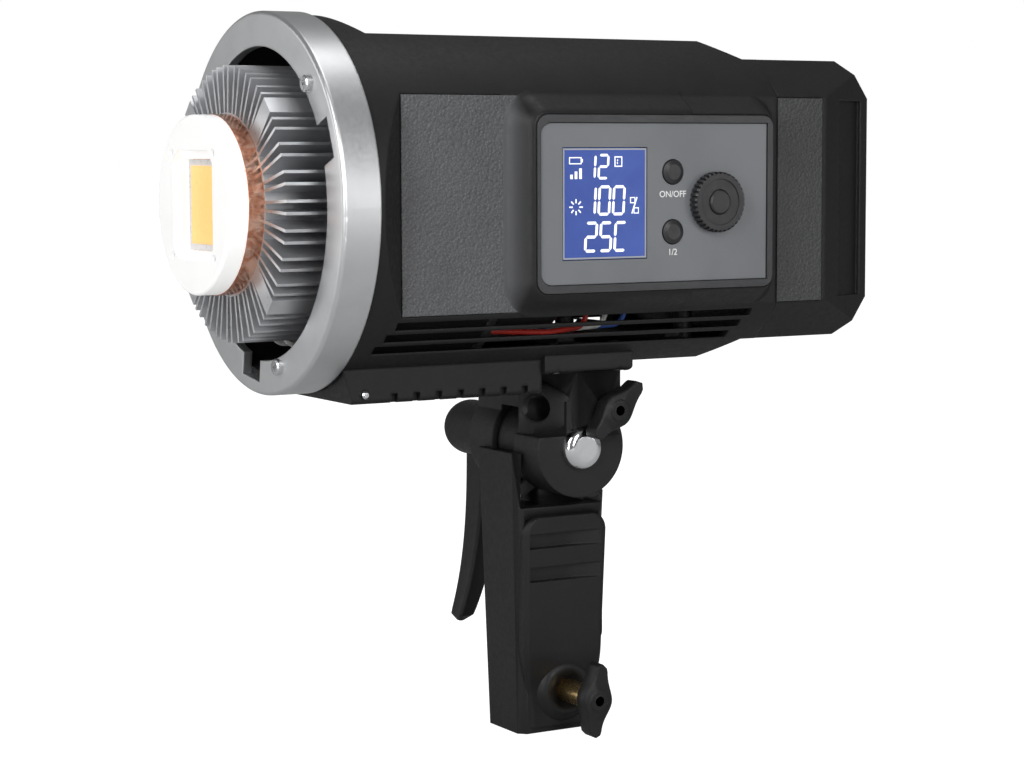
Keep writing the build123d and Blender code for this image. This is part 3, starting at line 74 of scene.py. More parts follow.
# The Mix node's sockets, by number since several of them share a name.
COLOUR_A, COLOUR_B, MIXED_COLOUR = 6, 7, 2
FACTOR, VALUE_A, VALUE_B, MIXED_VALUE = 0, 2, 3, 0
BEVEL_SAMPLES = 4
SHELL_BLACK = (0.0098, 0.0098, 0.0104)


# ---- Material building blocks ----
class Shader:
    """A node material for one finish, with everything measured in millimetres of the object."""

    def __init__(self, name, colour, roughness, metallic=0.0, specular=0.5, edge=0.35):
        self.material = bpy.data.materials.new(name)
        self.material.use_nodes = True
        self.tree = self.material.node_tree
        self.tree.nodes.clear()
        self.output = self.add("ShaderNodeOutputMaterial")
        self.shader = self.add("ShaderNodeBsdfPrincipled")
        self.link(self.shader.outputs["BSDF"], self.output.inputs["Surface"])
        self.shader.inputs["Metallic"].default_value = metallic
        self.shader.inputs["Specular IOR Level"].default_value = specular
        self.place = self.add("ShaderNodeTexCoord").outputs["Object"]
        self.colour = None
        self.base = colour
        self.roughness = roughness
        self.bevel = self.add("ShaderNodeBevel")
        self.bevel.samples = BEVEL_SAMPLES
        self.bevel.inputs["Radius"].default_value = edge * MM
        self.normal = self.bevel.outputs["Normal"]
        self.shader.inputs["Base Color"].default_value = (*colour, 1)
        self.shader.inputs["Roughness"].default_value = roughness
        self.link(self.normal, self.shader.inputs["Normal"])

    def add(self, kind, **settings):
        node = self.tree.nodes.new(kind)
        for key, value in settings.items():
            setattr(node, key, value)
        return node

    def link(self, source, target):
        self.tree.links.new(source, target)

    def scaled_place(self, stretch):
        mapping = self.add("ShaderNodeMapping")
        self.link(self.place, mapping.inputs["Vector"])
        mapping.inputs["Scale"].default_value = [s / MM for s in stretch]
        return mapping.outputs["Vector"]

    def noise(self, per_mm, detail=4.0, rough=0.55, stretch=(1, 1, 1), distortion=0.0):
        node = self.add("ShaderNodeTexNoise")
        self.link(self.scaled_place([per_mm * s for s in stretch]), node.inputs["Vector"])
        node.inputs["Scale"].default_value = 1.0
        node.inputs["Detail"].default_value = detail
        node.inputs["Roughness"].default_value = rough
        node.inputs["Distortion"].default_value = distortion
        return node.outputs["Fac"]

    def cells(self, per_mm, feature="F1"):
        node = self.add("ShaderNodeTexVoronoi", feature=feature)
        self.link(self.scaled_place([per_mm] * 3), node.inputs["Vector"])
        node.inputs["Scale"].default_value = 1.0
        return node.outputs["Distance"]

    def remap(self, value, low, high, to_low, to_high):
        node = self.add("ShaderNodeMapRange")
        self.link(value, node.inputs["Value"])
        node.inputs["From Min"].default_value = low
        node.inputs["From Max"].default_value = high
        node.inputs["To Min"].default_value = to_low
        node.inputs["To Max"].default_value = to_high
        return node.outputs["Result"]

    def combine(self, first, second, operation):
        node = self.add("ShaderNodeMath", operation=operation)
        for value, socket in zip((first, second), node.inputs):
            if isinstance(value, (int, float)):
                socket.default_value = value
            else:
                self.link(value, socket)
        return node.outputs["Value"]

    def edges(self):
        """High where the surface turns sharply, broken up as wear is."""
        flat = self.add("ShaderNodeNewGeometry").outputs["Normal"]
        dot = self.add("ShaderNodeVectorMath", operation="DOT_PRODUCT")
        self.link(self.bevel.outputs["Normal"], dot.inputs[0])
        self.link(flat, dot.inputs[1])
        flat_cosine, edge_cosine, least_wear = 0.995, 0.86, 0.25
        turned = self.remap(dot.outputs["Value"], flat_cosine, edge_cosine, 0.0, 1.0)
        broken = self.remap(self.noise(0.8, 6.0, 0.7), 0.35, 0.62, least_wear, 1.0)
        return self.combine(turned, broken, "MULTIPLY")

    def paint(self, factor, colour):
        """Mixes another colour in where the factor is high."""
        mix = self.add("ShaderNodeMix", data_type="RGBA")
        self.link(factor, mix.inputs["Factor"])
        if self.colour is None:
            mix.inputs[COLOUR_A].default_value = (*self.base, 1)
        else:
            self.link(self.colour, mix.inputs[COLOUR_A])
        mix.inputs[COLOUR_B].default_value = (*colour, 1)
        self.colour = mix.outputs[MIXED_COLOUR]
        self.link(self.colour, self.shader.inputs["Base Color"])

    def vary(self, amount, per_mm=0.05, stretch=(1, 1, 1)):
        """Slow drift of the colour over the surface, lighter and darker by a share."""
        drift = self.noise(per_mm, 3.0, 0.5, stretch)
        darker = [c * (1 - amount) for c in self.base]
        lighter = [min(1.0, c * (1 + amount)) for c in self.base]
        self.paint(self.remap(drift, 0.35, 0.65, 0.0, 1.0), lighter)
        self.paint(self.remap(drift, 0.5, 0.25, 0.0, 1.0), darker)

    def rough(self, spread, per_mm=0.4, stretch=(1, 1, 1), worn=None, worn_to=0.0):
        """Uneven gloss, which wear on the edges can polish or dull."""
        low, high = max(0.02, self.roughness - spread), min(1.0, self.roughness + spread)
        value = self.remap(self.noise(per_mm, 5.0, 0.6, stretch), 0.3, 0.7, low, high)
        if worn is not None:
            mix = self.add("ShaderNodeMix", data_type="FLOAT")
            self.link(worn, mix.inputs[FACTOR])
            self.link(value, mix.inputs[VALUE_A])
            mix.inputs[VALUE_B].default_value = worn_to
            value = mix.outputs[MIXED_VALUE]
        self.link(value, self.shader.inputs["Roughness"])

    def bump(self, height, depth_mm, strength=1.0):
        node = self.add("ShaderNodeBump")
        node.inputs["Strength"].default_value = strength
        node.inputs["Distance"].default_value = depth_mm * MM
        self.link(height, node.inputs["Height"])
        self.link(self.normal, node.inputs["Normal"])
        self.normal = node.outputs["Normal"]
        self.link(self.normal, self.shader.inputs["Normal"])

    def glow(self, colour, strength):
        self.shader.inputs["Emission Color"].default_value = (*colour, 1)
        self.shader.inputs["Emission Strength"].default_value = strength

    def coat(self, weight, roughness):
        self.shader.inputs["Coat Weight"].default_value = weight
        self.shader.inputs["Coat Roughness"].default_value = roughness


# ---- Finishes ----
def moulded(name, colour, roughness, grain_per_mm, grain_mm, specular=0.35, wear=1.9, edge=0.35):
    """Fine-grained moulded plastic with paler, smoother edges."""
    s = Shader(name, colour, roughness, specular=specular, edge=edge)
    s.vary(0.12)
    worn = s.edges()
    s.paint(s.combine(worn, 0.45, "MULTIPLY"), [min(1, wear * c + 0.01) for c in colour])
    s.rough(0.07, 0.5, worn=worn, worn_to=max(0.2, roughness - 0.14))
    s.bump(s.noise(grain_per_mm, 3.0, 0.6), grain_mm)
    return s.material


def leather_grain(name, colour, roughness):
    """Pebbled pad: rounded cells parted by fine creases, which are darkened with painted shade."""
    pebbles_per_mm, crease_width = 1.15, 0.16
    s = Shader(name, colour, roughness, specular=0.4, edge=0.25)
    s.vary(0.1)
    pebble = s.cells(pebbles_per_mm, "SMOOTH_F1")
    shaded_crease = s.remap(s.cells(pebbles_per_mm, "DISTANCE_TO_EDGE"), 0.0, crease_width, 1.0, 0.0)
    # Painted shade: the creases are darkened where shade falls between the pebbles.
    s.paint(s.combine(shaded_crease, 0.7, "MULTIPLY"), [0.5 * c for c in colour])
    s.rough(0.08, 0.7)
    s.bump(s.combine(1.0, pebble, "SUBTRACT"), 0.30, 1.0)
    s.bump(s.noise(4.0, 3.0, 0.6), 0.03, 0.7)
    return s.material


def satin_paint(name, colour, roughness, specular=0.5, sparkle=0.012):
    """Smooth paint with a faint orange-peel surface and paler edges."""
    s = Shader(name, colour, roughness, specular=specular, edge=0.3)
    s.vary(0.07, 0.03)
    worn = s.edges()
    s.paint(s.combine(worn, 0.4, "MULTIPLY"), [min(1, 1.5 * c + 0.02) for c in colour])
    s.rough(0.06, 0.6, worn=worn, worn_to=roughness - 0.08)
    s.bump(s.noise(5.0, 2.0, 0.5), sparkle)
    return s.material


def metal(name, colour, roughness, lines=(1, 1, 1), line_mm=0.006, per_mm=3.0, edge=0.25, spread=0.08,
          tarnish=0.1, metallic=1.0):
    """Bare metal with its tool marks along one direction and brighter edges."""
    s = Shader(name, colour, roughness, metallic=metallic, edge=edge)
    s.vary(tarnish, 0.12)
    worn = s.edges()
    s.paint(s.combine(worn, 0.5, "MULTIPLY"), [min(1, 1.18 * c + 0.04) for c in colour])
    s.rough(spread, 0.8, lines, worn=worn, worn_to=max(0.05, roughness - 0.08))
    s.bump(s.noise(per_mm, 4.0, 0.6, lines), line_mm, 0.8)
    return s.material


def swirled_copper(name):
    """Polished copper with the soft swirls that handling and heat leave."""
    s = Shader(name, (0.83, 0.40, 0.26), 0.22, metallic=1.0, edge=0.3)
    swirl = s.noise(0.22, 2.0, 0.5, distortion=1.2)
    s.paint(s.remap(swirl, 0.45, 0.62, 0.0, 0.7), (0.95, 0.62, 0.48))
    s.paint(s.remap(swirl, 0.48, 0.34, 0.0, 0.7), (0.55, 0.21, 0.12))
    s.rough(0.06, 0.6)
    s.bump(s.noise(0.35, 2.0, 0.4, (1, 0.5, 1), 1.4), 0.35, 0.5)
    return s.material


def white_ceramic(name, colour, roughness, coat=0.0, painted_glow=0.0):
    """Glazed white with a painted glow: emission that stands in for the light falling on it from the light
    source, though it is no lamp.
    """
    s = Shader(name, colour, roughness, edge=0.3)
    # Painted light: this glow stands in for light falling on the white; the part is not a lamp of its own.
    s.glow((1.0, 0.99, 0.97), painted_glow)
    s.vary(0.03, 0.08)
    s.paint(s.remap(s.noise(0.5, 5.0, 0.7), 0.6, 0.75, 0.0, 0.15), [0.8 * c for c in colour])
    s.rough(0.06, 0.8)
    s.bump(s.noise(2.0, 3.0, 0.5), 0.01, 0.6)
    s.coat(coat, 0.08)
    return s.material


def phosphor_gel(name):
    """Yellow silicone over the light source, faintly mottled."""
    s = Shader(name, (0.93, 0.50, 0.13), 0.42, edge=0.2)
    s.paint(s.remap(s.noise(0.5, 5.0, 0.6), 0.4, 0.65, 0.0, 0.5), (0.97, 0.58, 0.19))
    s.paint(s.remap(s.cells(2.2), 0.35, 0.6, 0.0, 0.25), (0.80, 0.38, 0.08))
    s.rough(0.08, 1.0)
    s.bump(s.noise(2.5, 3.0, 0.5), 0.02, 0.6)
    s.glow((1.0, 0.62, 0.25), 0.42)
    return s.material


def insulation(name, colour):
    """Soft plastic of a wire."""
    s = Shader(name, colour, 0.42, edge=0.1)
    s.vary(0.12, 0.3)
    s.rough(0.08, 1.5)
    s.bump(s.noise(3.0, 3.0, 0.5), 0.01)
    return s.material


def circuit_green(name):
    """Solder mask over raised copper traces."""
    s = Shader(name, (0.015, 0.10, 0.045), 0.35, edge=0.15)
    s.vary(0.15, 0.4)
    traces = s.remap(s.cells(0.5, "DISTANCE_TO_EDGE"), 0.03, 0.05, 1.0, 0.0)
    s.paint(s.combine(traces, 0.6, "MULTIPLY"), (0.05, 0.22, 0.10))
    s.rough(0.08, 1.0)
    s.bump(traces, 0.02, 0.5)
    return s.material


def lit_display(name):
    """Backlit blue film, brighter in broad patches across the screen."""
    s = Shader(name, (0.026, 0.058, 0.27), 0.22, specular=0.22, edge=0.15)
    s.paint(s.remap(s.noise(0.05, 3.0, 0.5), 0.35, 0.65, 0.0, 0.6), (0.05, 0.10, 0.38))
    s.rough(0.05, 0.7)
    s.bump(s.noise(3.0, 2.0, 0.5), 0.003, 0.5)
    s.glow((0.045, 0.095, 0.38), 0.22)
    return s.material


def bulge_film(name):
    """Shell black with a painted sheen: it turns to the pad's grey toward the foot of the bulge's front
    slope, where the slope catches the light.
    """
    sheen_grey = (0.075, 0.077, 0.080)
    run_up, fade_from, fade_to = 6.0, 0.5, 4.6
    s = Shader(name, SHELL_BLACK, 0.46, specular=0.30, edge=0.8)
    s.vary(0.12)
    part = s.add("ShaderNodeSeparateXYZ")
    s.link(s.place, part.inputs[0])
    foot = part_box("control_bezel")[0].y - run_up * MM
    # Painted sheen: the grey toward the foot stands in for the light that the slope catches.
    s.paint(s.remap(part.outputs["Y"], foot + fade_from * MM, foot + fade_to * MM, 1.0, 0.0), sheen_grey)
    s.rough(0.07, 0.5)
    s.bump(s.noise(2.6, 3.0, 0.6), 0.045)
    return s.material


def lit_mark(name, colour, strength):
    """A display segment, or print when its strength is nought."""
    s = Shader(name, colour, 0.4, edge=0.05)
    s.vary(0.05, 1.0)
    s.rough(0.05, 2.0)
    s.glow(colour, strength)
    return s.material


# Each material slot: the finish that makes it, and what that finish takes.
recipes = {
    "black_shell": (moulded, dict(
        colour=SHELL_BLACK, roughness=0.46, grain_per_mm=2.6, grain_mm=0.045, specular=0.30, wear=1.7,
        edge=1.3)),
    # Shell black with a painted sheen toward the bulge's foot.
    "bulge_film": (bulge_film, {}),
    "grained_pad": (leather_grain, dict(colour=(0.098, 0.100, 0.104), roughness=0.48)),
    "dark_grained_pad": (leather_grain, dict(colour=(0.055, 0.056, 0.057), roughness=0.48)),
    "bezel_black": (satin_paint, dict(colour=(0.030, 0.031, 0.033), roughness=0.34, specular=0.45)),
    "plate_grey": (satin_paint, dict(colour=(0.150, 0.158, 0.168), roughness=0.34, specular=0.45)),
    "display": (lit_display, {}),
    "button_grey": (moulded, dict(
        colour=(0.022, 0.022, 0.024), roughness=0.36, grain_per_mm=3.0, grain_mm=0.02, specular=0.45,
        wear=2.6, edge=0.3)),
    "circuit_board": (circuit_green, {}),
    "component_dark": (moulded, dict(
        colour=(0.03, 0.03, 0.035), roughness=0.4, grain_per_mm=2.0, grain_mm=0.02)),
    "ring_silver": (metal, dict(
        colour=(0.70, 0.71, 0.72), roughness=0.34, per_mm=2.0, line_mm=0.0015, edge=0.7, spread=0.03,
        tarnish=0.03, metallic=0.95)),
    "zinc_screw": (metal, dict(colour=(0.74, 0.75, 0.76), roughness=0.24, per_mm=2.0, edge=0.15)),
    "black_screw": (moulded, dict(
        colour=(0.02, 0.02, 0.02), roughness=0.38, grain_per_mm=3.0, grain_mm=0.02, specular=0.5)),
    "sleeve_black": (moulded, dict(
        colour=(0.012, 0.012, 0.013), roughness=0.6, grain_per_mm=1.6, grain_mm=0.06, specular=0.25)),
    "fin_aluminium": (metal, dict(
        colour=(0.66, 0.67, 0.69), roughness=0.34, lines=(1.2, 0.06, 1.2), line_mm=0.004, per_mm=1.5,
        edge=0.12, spread=0.07, tarnish=0.06, metallic=0.82)),
    "copper": (swirled_copper, {}),
    # The holder and the LED board get a painted glow, emission standing in for the light on them.
    "holder_white": (white_ceramic, dict(colour=(0.84, 0.84, 0.84), roughness=0.28, coat=0.3, painted_glow=0.36)),
    "led_board_white": (white_ceramic, dict(colour=(0.60, 0.61, 0.63), roughness=0.30, painted_glow=0.1)),
    "phosphor": (phosphor_gel, {}),
    "wire_white": (insulation, dict(colour=(0.72, 0.72, 0.70))),
    "wire_red": (insulation, dict(colour=(0.55, 0.03, 0.02))),
    "wire_blue": (insulation, dict(colour=(0.05, 0.12, 0.42))),
    "steel_plate": (metal, dict(colour=(0.42, 0.42, 0.43), roughness=0.4, lines=(0.2, 1, 2))),
    "fan_black": (moulded, dict(
        colour=(0.016, 0.016, 0.016), roughness=0.45, grain_per_mm=1.8, grain_mm=0.03)),
    "cell_wrap": (moulded, dict(
        colour=(0.03, 0.12, 0.20), roughness=0.3, grain_per_mm=1.0, grain_mm=0.01, specular=0.5)),
    "brass": (metal, dict(
        colour=(0.70, 0.50, 0.23), roughness=0.24, lines=(8, 0.4, 0.4), line_mm=0.03, per_mm=1.2, edge=0.15)),
    "bolt_chrome": (metal, dict(
        colour=(0.86, 0.87, 0.89), roughness=0.09, lines=(1, 2, 1), line_mm=0.002, per_mm=1.5, edge=0.3,
        spread=0.04, tarnish=0.03)),
    "casting_black": (moulded, dict(
        colour=(0.0115, 0.0115, 0.012), roughness=0.46, grain_per_mm=1.5, grain_mm=0.05, specular=0.30,
        wear=2.4, edge=0.9)),
    "grip_black": (moulded, dict(
        colour=(0.0105, 0.0105, 0.011), roughness=0.46, grain_per_mm=1.7, grain_mm=0.05, specular=0.28,
        wear=2.6, edge=0.7)),
    "liner_steel": (metal, dict(colour=(0.5, 0.5, 0.52), roughness=0.35, lines=(0.3, 0.3, 3))),
    "washer_nylon": (moulded, dict(
        colour=(0.06, 0.06, 0.06), roughness=0.5, grain_per_mm=2.0, grain_mm=0.02)),
    "socket_black": (moulded, dict(
        colour=(0.012, 0.012, 0.012), roughness=0.35, grain_per_mm=2.0, grain_mm=0.02, specular=0.5)),
    "print_white": (lit_mark, dict(colour=(0.80, 0.80, 0.80), strength=0.0)),
    "segment_white": (lit_mark, dict(colour=(0.86, 0.88, 0.92), strength=0.45)),
    "display_edge": (satin_paint, dict(colour=(0.36, 0.38, 0.42), roughness=0.35)),
}
finishes = {name: finish(name, **values) for name, (finish, values) in recipes.items()}

for part in frame["record"]["subparts"]:
    node = nodes[part["node"]]
    node.data.materials.clear()
    node.data.materials.append(finishes[part["material_slot"]])


# ---- Pieces drawn on the control side ----
def panel_point(x_face, depth, height):
    """Point on a face toward +X, by depth along the head and height from the display's middle."""
    low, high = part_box("lcd_module")
    middle = (low + high) / 2
    return Vector((x_face, middle.y + depth * MM, middle.z + height * MM))


def flat_piece(name, outlines, x_face, thickness, slot, body="head"):
    """Thin raised shapes on a face toward +X, from outlines in millimetres of depth and height."""
    mesh = bpy.data.meshes.new(name)
    shape = bmesh.new()
    for outline in outlines:
        points = [panel_point(x_face, d, h) for d, h in outline]
        base = shape.faces.new([shape.verts.new(point) for point in points])
        grown = bmesh.ops.extrude_face_region(shape, geom=[base])
        top = [v for v in grown["geom"] if isinstance(v, bmesh.types.BMVert)]
        bmesh.ops.translate(shape, verts=top, vec=(thickness * MM, 0, 0))
    bmesh.ops.recalc_face_normals(shape, faces=shape.faces)
    shape.to_mesh(mesh)
    shape.free()
    piece = bpy.data.objects.new(name, mesh)
    scene.collection.objects.link(piece)
    piece.data.materials.append(finishes[slot])
    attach(piece, body)


def bar(d0, h0, d1, h1, width, point=0.5):
    """A straight stroke with pointed ends, as a segment of a display digit has."""
    along = Vector((d1 - d0, h1 - h0)).normalized()
    across = Vector((-along.y, along.x)) * width / 2
    tip = along * width * point
    a, b = Vector((d0, h0)), Vector((d1, h1))
    return [a, a + tip + across, b - tip + across, b, b - tip - across, a + tip - across]


SEGMENTS = {
    "0": "abcdef", "1": "bc", "2": "abged", "5": "afgcd", "C": "afed",
}


def digit(figure, left, bottom, width, height, stroke, lean=0.06):
    """The strokes of one seven-segment figure, leaning a little forward."""
    gap = stroke * 0.12
    ends = {
        "a": (0, 1, 1, 1), "g": (0, 0.5, 1, 0.5), "d": (0, 0, 1, 0),
        "f": (0, 0.5, 0, 1), "b": (1, 0.5, 1, 1), "e": (0, 0, 0, 0.5), "c": (1, 0, 1, 0.5),
    }
    strokes = []
    for name in SEGMENTS[figure]:
        x0, y0, x1, y1 = ends[name]
        flat = name in "agd"
        d0, d1 = left + x0 * width, left + x1 * width
        h0, h1 = bottom + y0 * height, bottom + y1 * height
        if flat:
            d0, d1 = d0 + gap, d1 - gap
        else:
            h0, h1 = h0 + gap, h1 - gap
        outline = bar(d0, h0, d1, h1, stroke)
        strokes.append([(d + lean * (h - bottom), h) for d, h in outline])
    return strokes


def number(text, left, bottom, width, height, stroke, pitch):
    """Figures in a row, one pitch apart."""
    strokes = []
    for i, figure in enumerate(text):
        strokes += digit(figure, left + i * pitch, bottom, width, height, stroke)
    return strokes


BLUNT = 0.2  # how far a blunt stroke's ends are drawn to a point, as a share of its width


def frame_strokes(d0, h0, d1, h1, line):
    """Four bars round a rectangle."""
    return [
        [(d0, h0), (d1, h0), (d1, h0 + line), (d0, h0 + line)],
        [(d0, h1 - line), (d1, h1 - line), (d1, h1), (d0, h1)],
        [(d0, h0 + line), (d0 + line, h0 + line), (d0 + line, h1 - line), (d0, h1 - line)],
        [(d1 - line, h0 + line), (d1, h0 + line), (d1, h1 - line), (d1 - line, h1 - line)],
    ]


def sun_mark(depth, height, inner, outer, line):
    """Eight short rays round an open middle."""
    rays = []
    for i in range(8):
        turn = math.radians(45 * i)
        c, s = math.cos(turn), math.sin(turn)
        start = (depth + inner * c, height + inner * s)
        end = (depth + outer * c, height + outer * s)
        rays.append(bar(*start, *end, line, BLUNT))
    return rays


def percent_mark(left, bottom, width, height, line):
    """A slash between two small squares."""
    slash = bar(left + 0.2 * width, bottom, left + 0.8 * width, bottom + height, line, BLUNT)
    dot = 0.3 * width
    high = frame_strokes(left, bottom + height - 2 * dot, left + 2 * dot, bottom + height, line * 0.7)
    low = frame_strokes(left + width - 2 * dot, bottom, left + width, bottom + 2 * dot, line * 0.7)
    return [slash] + high + low


def display():
    """A made-up reading in plain figures, with a battery, bars, a boxed 1, a sun and a percent sign."""
    face_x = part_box("lcd_module")[1].x + 0.02 * MM
    figure_mm, rim_mm = 0.03, 0.02
    half_w, half_h, rim_line = 15.9, 17.8, 0.55
    readings = (  # text, left, bottom, width, height, stroke, pitch
        ("12", -7.4, 8.2, 3.4, 7.4, 0.85, 4.9),
        ("100", -8.0, -3.4, 4.0, 8.8, 0.95, 5.5),
        ("25C", -7.6, -15.2, 4.0, 9.0, 1.0, 5.6),
    )
    strokes = []
    for reading in readings:
        strokes += number(*reading)
    battery_case = frame_strokes(-13.6, 12.7, -8.9, 15.0, 0.35)
    battery_tip = [(-8.9, 13.3), (-8.4, 13.3), (-8.4, 14.4), (-8.9, 14.4)]
    strokes += battery_case + [battery_tip]
    bars_low = 8.0
    for i in range(3):
        left, right, top = -13.2 + 1.7 * i, -12.2 + 1.7 * i, 9.4 + i
        strokes.append([(left, bars_low), (right, bars_low), (right, top), (left, top)])
    strokes += frame_strokes(3.6, 11.8, 6.6, 15.2, 0.4)
    strokes += number("1", 3.2, 12.6, 1.5, 1.8, 0.4, 1.0)
    strokes += sun_mark(-11.0, -1.0, 1.2, 2.6, 0.5)
    strokes += percent_mark(9.6, -3.4, 3.4, 5.4, 0.5)
    flat_piece("display_figures", strokes, face_x, figure_mm, "segment_white")
    rim = frame_strokes(-half_w, -half_h, half_w, half_h, rim_line)
    flat_piece("display_rim", rim, face_x, rim_mm, "display_edge")


def label(name, text, node, drop, size):
    """Printed text under a button, facing +X."""
    print_mm, spread_mm, lift_mm = 0.01, 0.035, 0.02
    low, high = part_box(node)
    curve = bpy.data.curves.new(name, "FONT")
    curve.body = text
    curve.size = size * MM
    curve.align_x = "CENTER"
    curve.align_y = "CENTER"
    curve.extrude = print_mm * MM
    curve.offset = spread_mm * MM
    piece = bpy.data.objects.new(name, curve)
    scene.collection.objects.link(piece)
    plate_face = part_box("control_plate")[1].x
    turn = Matrix(((0, 0, 1), (1, 0, 0), (0, 1, 0))).to_4x4()
    middle = (low + high) / 2
    place = (plate_face + lift_mm * MM, middle.y, middle.z - drop * MM)
    piece.matrix_world = Matrix.Translation(place) @ turn
    curve.materials.append(finishes["print_white"])
    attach(piece, "head")


LABEL_SIZE = 2.9
display()
label("label_on_off", "ON/OFF", "power_button", 7.3, LABEL_SIZE)
label("label_one_two", "1/2", "group_button", 6.7, LABEL_SIZE)


# ---- Cast and moulded forms ----
SOLID_SHARP = 38  # degrees between faces past which an edge stays sharp
CUT_SHARP = 30
WELD = 0.001      # millimetres within which a copied mesh's points are joined


class Solid:
    """Rings of points in millimetres, joined into one closed mesh that rides on a body."""

    def __init__(self, name):
        self.name = name
        self.shape = bmesh.new()

    def rings(self, rings):
        """Skin over rings with the same number of points, capped at both ends."""
        rows = [[self.shape.verts.new(Vector(point) * MM) for point in ring] for ring in rings]
        for low, high in zip(rows, rows[1:]):
            for i in range(len(low)):
                j = (i + 1) % len(low)
                self.shape.faces.new((low[i], low[j], high[j], high[i]))
        self.shape.faces.new(rows[0][::-1])
        self.shape.faces.new(rows[-1])

    def finish(self, slot, body, smooth=True):
        bmesh.ops.recalc_face_normals(self.shape, faces=self.shape.faces)
        mesh = bpy.data.meshes.new(self.name)
        self.shape.to_mesh(mesh)
        self.shape.free()
        if smooth:
            mesh.shade_smooth()
            mesh.set_sharp_from_angle(angle=math.radians(SOLID_SHARP))
        piece = bpy.data.objects.new(self.name, mesh)
        scene.collection.objects.link(piece)
        piece.data.materials.append(finishes[slot])
        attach(piece, body)
        return piece


def centre_mm(node):
    """Middle of a CAD node, in millimetres."""
    low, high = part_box(node)
    return (low + high) / 2 / MM


def knob_outline(reach, hub, tip, sweep):
    """Half widths along a wing: full at the hub, drawn in, and rounded at the tips."""
    side = []
    steps, waist, bend = 22, 0.46, 1.6
    for i in range(steps + 1):
        u = -reach + 2 * reach * i / steps
        share = abs(u) / reach
        width = tip + (hub - tip) * math.exp(-((share / waist) ** 2))
        rounding = math.sqrt(max(0.0, 1 - max(0.0, (abs(u) - reach + tip) / tip) ** 2))
        drift = sweep * math.copysign(share ** bend, u)
        side.append((u, width * rounding, drift))
    return side


def wing_knob(name, node, body, turn, stem_node):
    """Wing knob with drawn-in flanks, standing for the plain one."""
    low, high = (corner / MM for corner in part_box(node))
    axis = centre_mm(stem_node)
    c, s = math.cos(math.radians(turn)), math.sin(math.radians(turn))
    thickness, rings_stand, stem_r = 7.4, 0.4, 4.2
    back, face = high.x - thickness, high.x - rings_stand
    flank = knob_outline(reach=12.6, hub=5.7, tip=2.3, sweep=1.5)

    def ring(x, shrink):
        points = [(u, drift + width * shrink) for u, width, drift in flank]
        points += [(u, drift - width * shrink) for u, width, drift in reversed(flank[1:-1])]
        return [(x, axis.y - c * v - s * u, axis.z - s * v + c * u) for u, v in points]

    knob = Solid(name)
    levels = [
        (back, 0.80), (back + 0.5, 0.9), (back + 1.2, 0.97),
        (face - 0.9, 1.0), (face - 0.3, 0.93), (face, 0.82),
    ]
    knob.rings([ring(x, shrink) for x, shrink in levels])
    knob.rings([circle_x(x, axis, stem_r) for x in (low.x, back + 0.3)])
    for radius in (1.7, 3.5):
        steps = ((face - 0.2, radius), (face + 0.3, radius), (face + 0.3, radius - 0.6))
        knob.rings([circle_x(x, axis, r) for x, r in steps])
    piece = knob.finish("casting_black", body)
    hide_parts(node)


def circle_x(x, axis, radius, points=28):
    """A circle about the X direction."""
    turns = [2 * math.pi * i / points for i in range(points)]
    return [(x, axis.y + radius * math.cos(t), axis.z + radius * math.sin(t)) for t in turns]


def tilt_lever():
    """Domed hub with its bore, and the hanging arm: broad at the hub, curved forward, narrow at the tip."""
    axis = centre_mm("tilt_bolt")
    low, high = (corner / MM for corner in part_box("tilt_lever"))
    bore_gap, bore_depth, rim, dome_steps, dome_step = 0.05, 12.0, 0.6, 13, 7.3
    arm_inset, root, tip, tip_gap, corner = 4.6, 2.0, 3.2, 0.2, 1.6
    # Each edge of the arm: where it is at the hub, how far it has moved at the tip, and how late it moves.
    front_at, front_sweep, front_late = 0.2, 7.8, 3.1
    rear_at, rear_sweep, rear_late = 10.0, 11.2, 2.7
    thick, taper, taper_late = 13.6, 5.6, 1.4
    bore = (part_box("lever_insert")[1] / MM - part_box("lever_insert")[0] / MM).z / 2 + bore_gap
    hub_r = high.z - axis.z
    outer = low.x + arm_inset
    length = axis.z - low.z - tip_gap
    arm = Solid("lever_with_hub")
    profile = [(low.x + bore_depth, bore), (high.x, bore), (high.x, hub_r - rim), (high.x - rim, hub_r)]
    for i in range(dome_steps):
        turn = math.radians(dome_step * i)
        profile.append((low.x + hub_r - hub_r * math.sin(turn), hub_r * math.cos(turn)))
    arm.rings([circle_x(x, axis, radius, 40) for x, radius in profile])
    rings = []
    steps = 30
    for i in range(steps + 1):
        share = i / steps
        drop = root + (length - root) * share
        front = front_at - front_sweep * (drop / length) ** front_late
        rear = rear_at - rear_sweep * (drop / length) ** rear_late
        inner = outer + thick - taper * share ** taper_late
        ending = math.sqrt(max(0.0, 1 - max(0.0, (drop - length + tip) / tip) ** 2)) * 0.97 + 0.03
        half_x = (inner - outer) / 2 * (0.35 + 0.65 * ending)
        half_y = (rear - front) / 2 * (0.25 + 0.75 * ending)
        middle_x, middle_y = (inner + outer) / 2, axis.y + (front + rear) / 2
        rings.append(rounded_ring(middle_x, middle_y, axis.z - drop, half_x, half_y, corner))
    arm.rings(rings)
    piece = arm.finish("grip_black", "tilt_lever")
    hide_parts("tilt_lever")


def rounded_ring(x, y, z, half_x, half_y, corner):
    """A rounded rectangle seen from above."""
    corner = min(corner, 0.9 * half_x, 0.9 * half_y)
    points = []
    for quarter, (sx, sy) in enumerate(((1, 1), (-1, 1), (-1, -1), (1, -1))):
        for k in range(5):
            t = math.radians(90 * quarter + 22.5 * k)
            px = x + sx * (half_x - corner) + corner * math.cos(t)
            py = y + sy * (half_y - corner) + corner * math.sin(t)
            points.append((px, py, z))
    return points


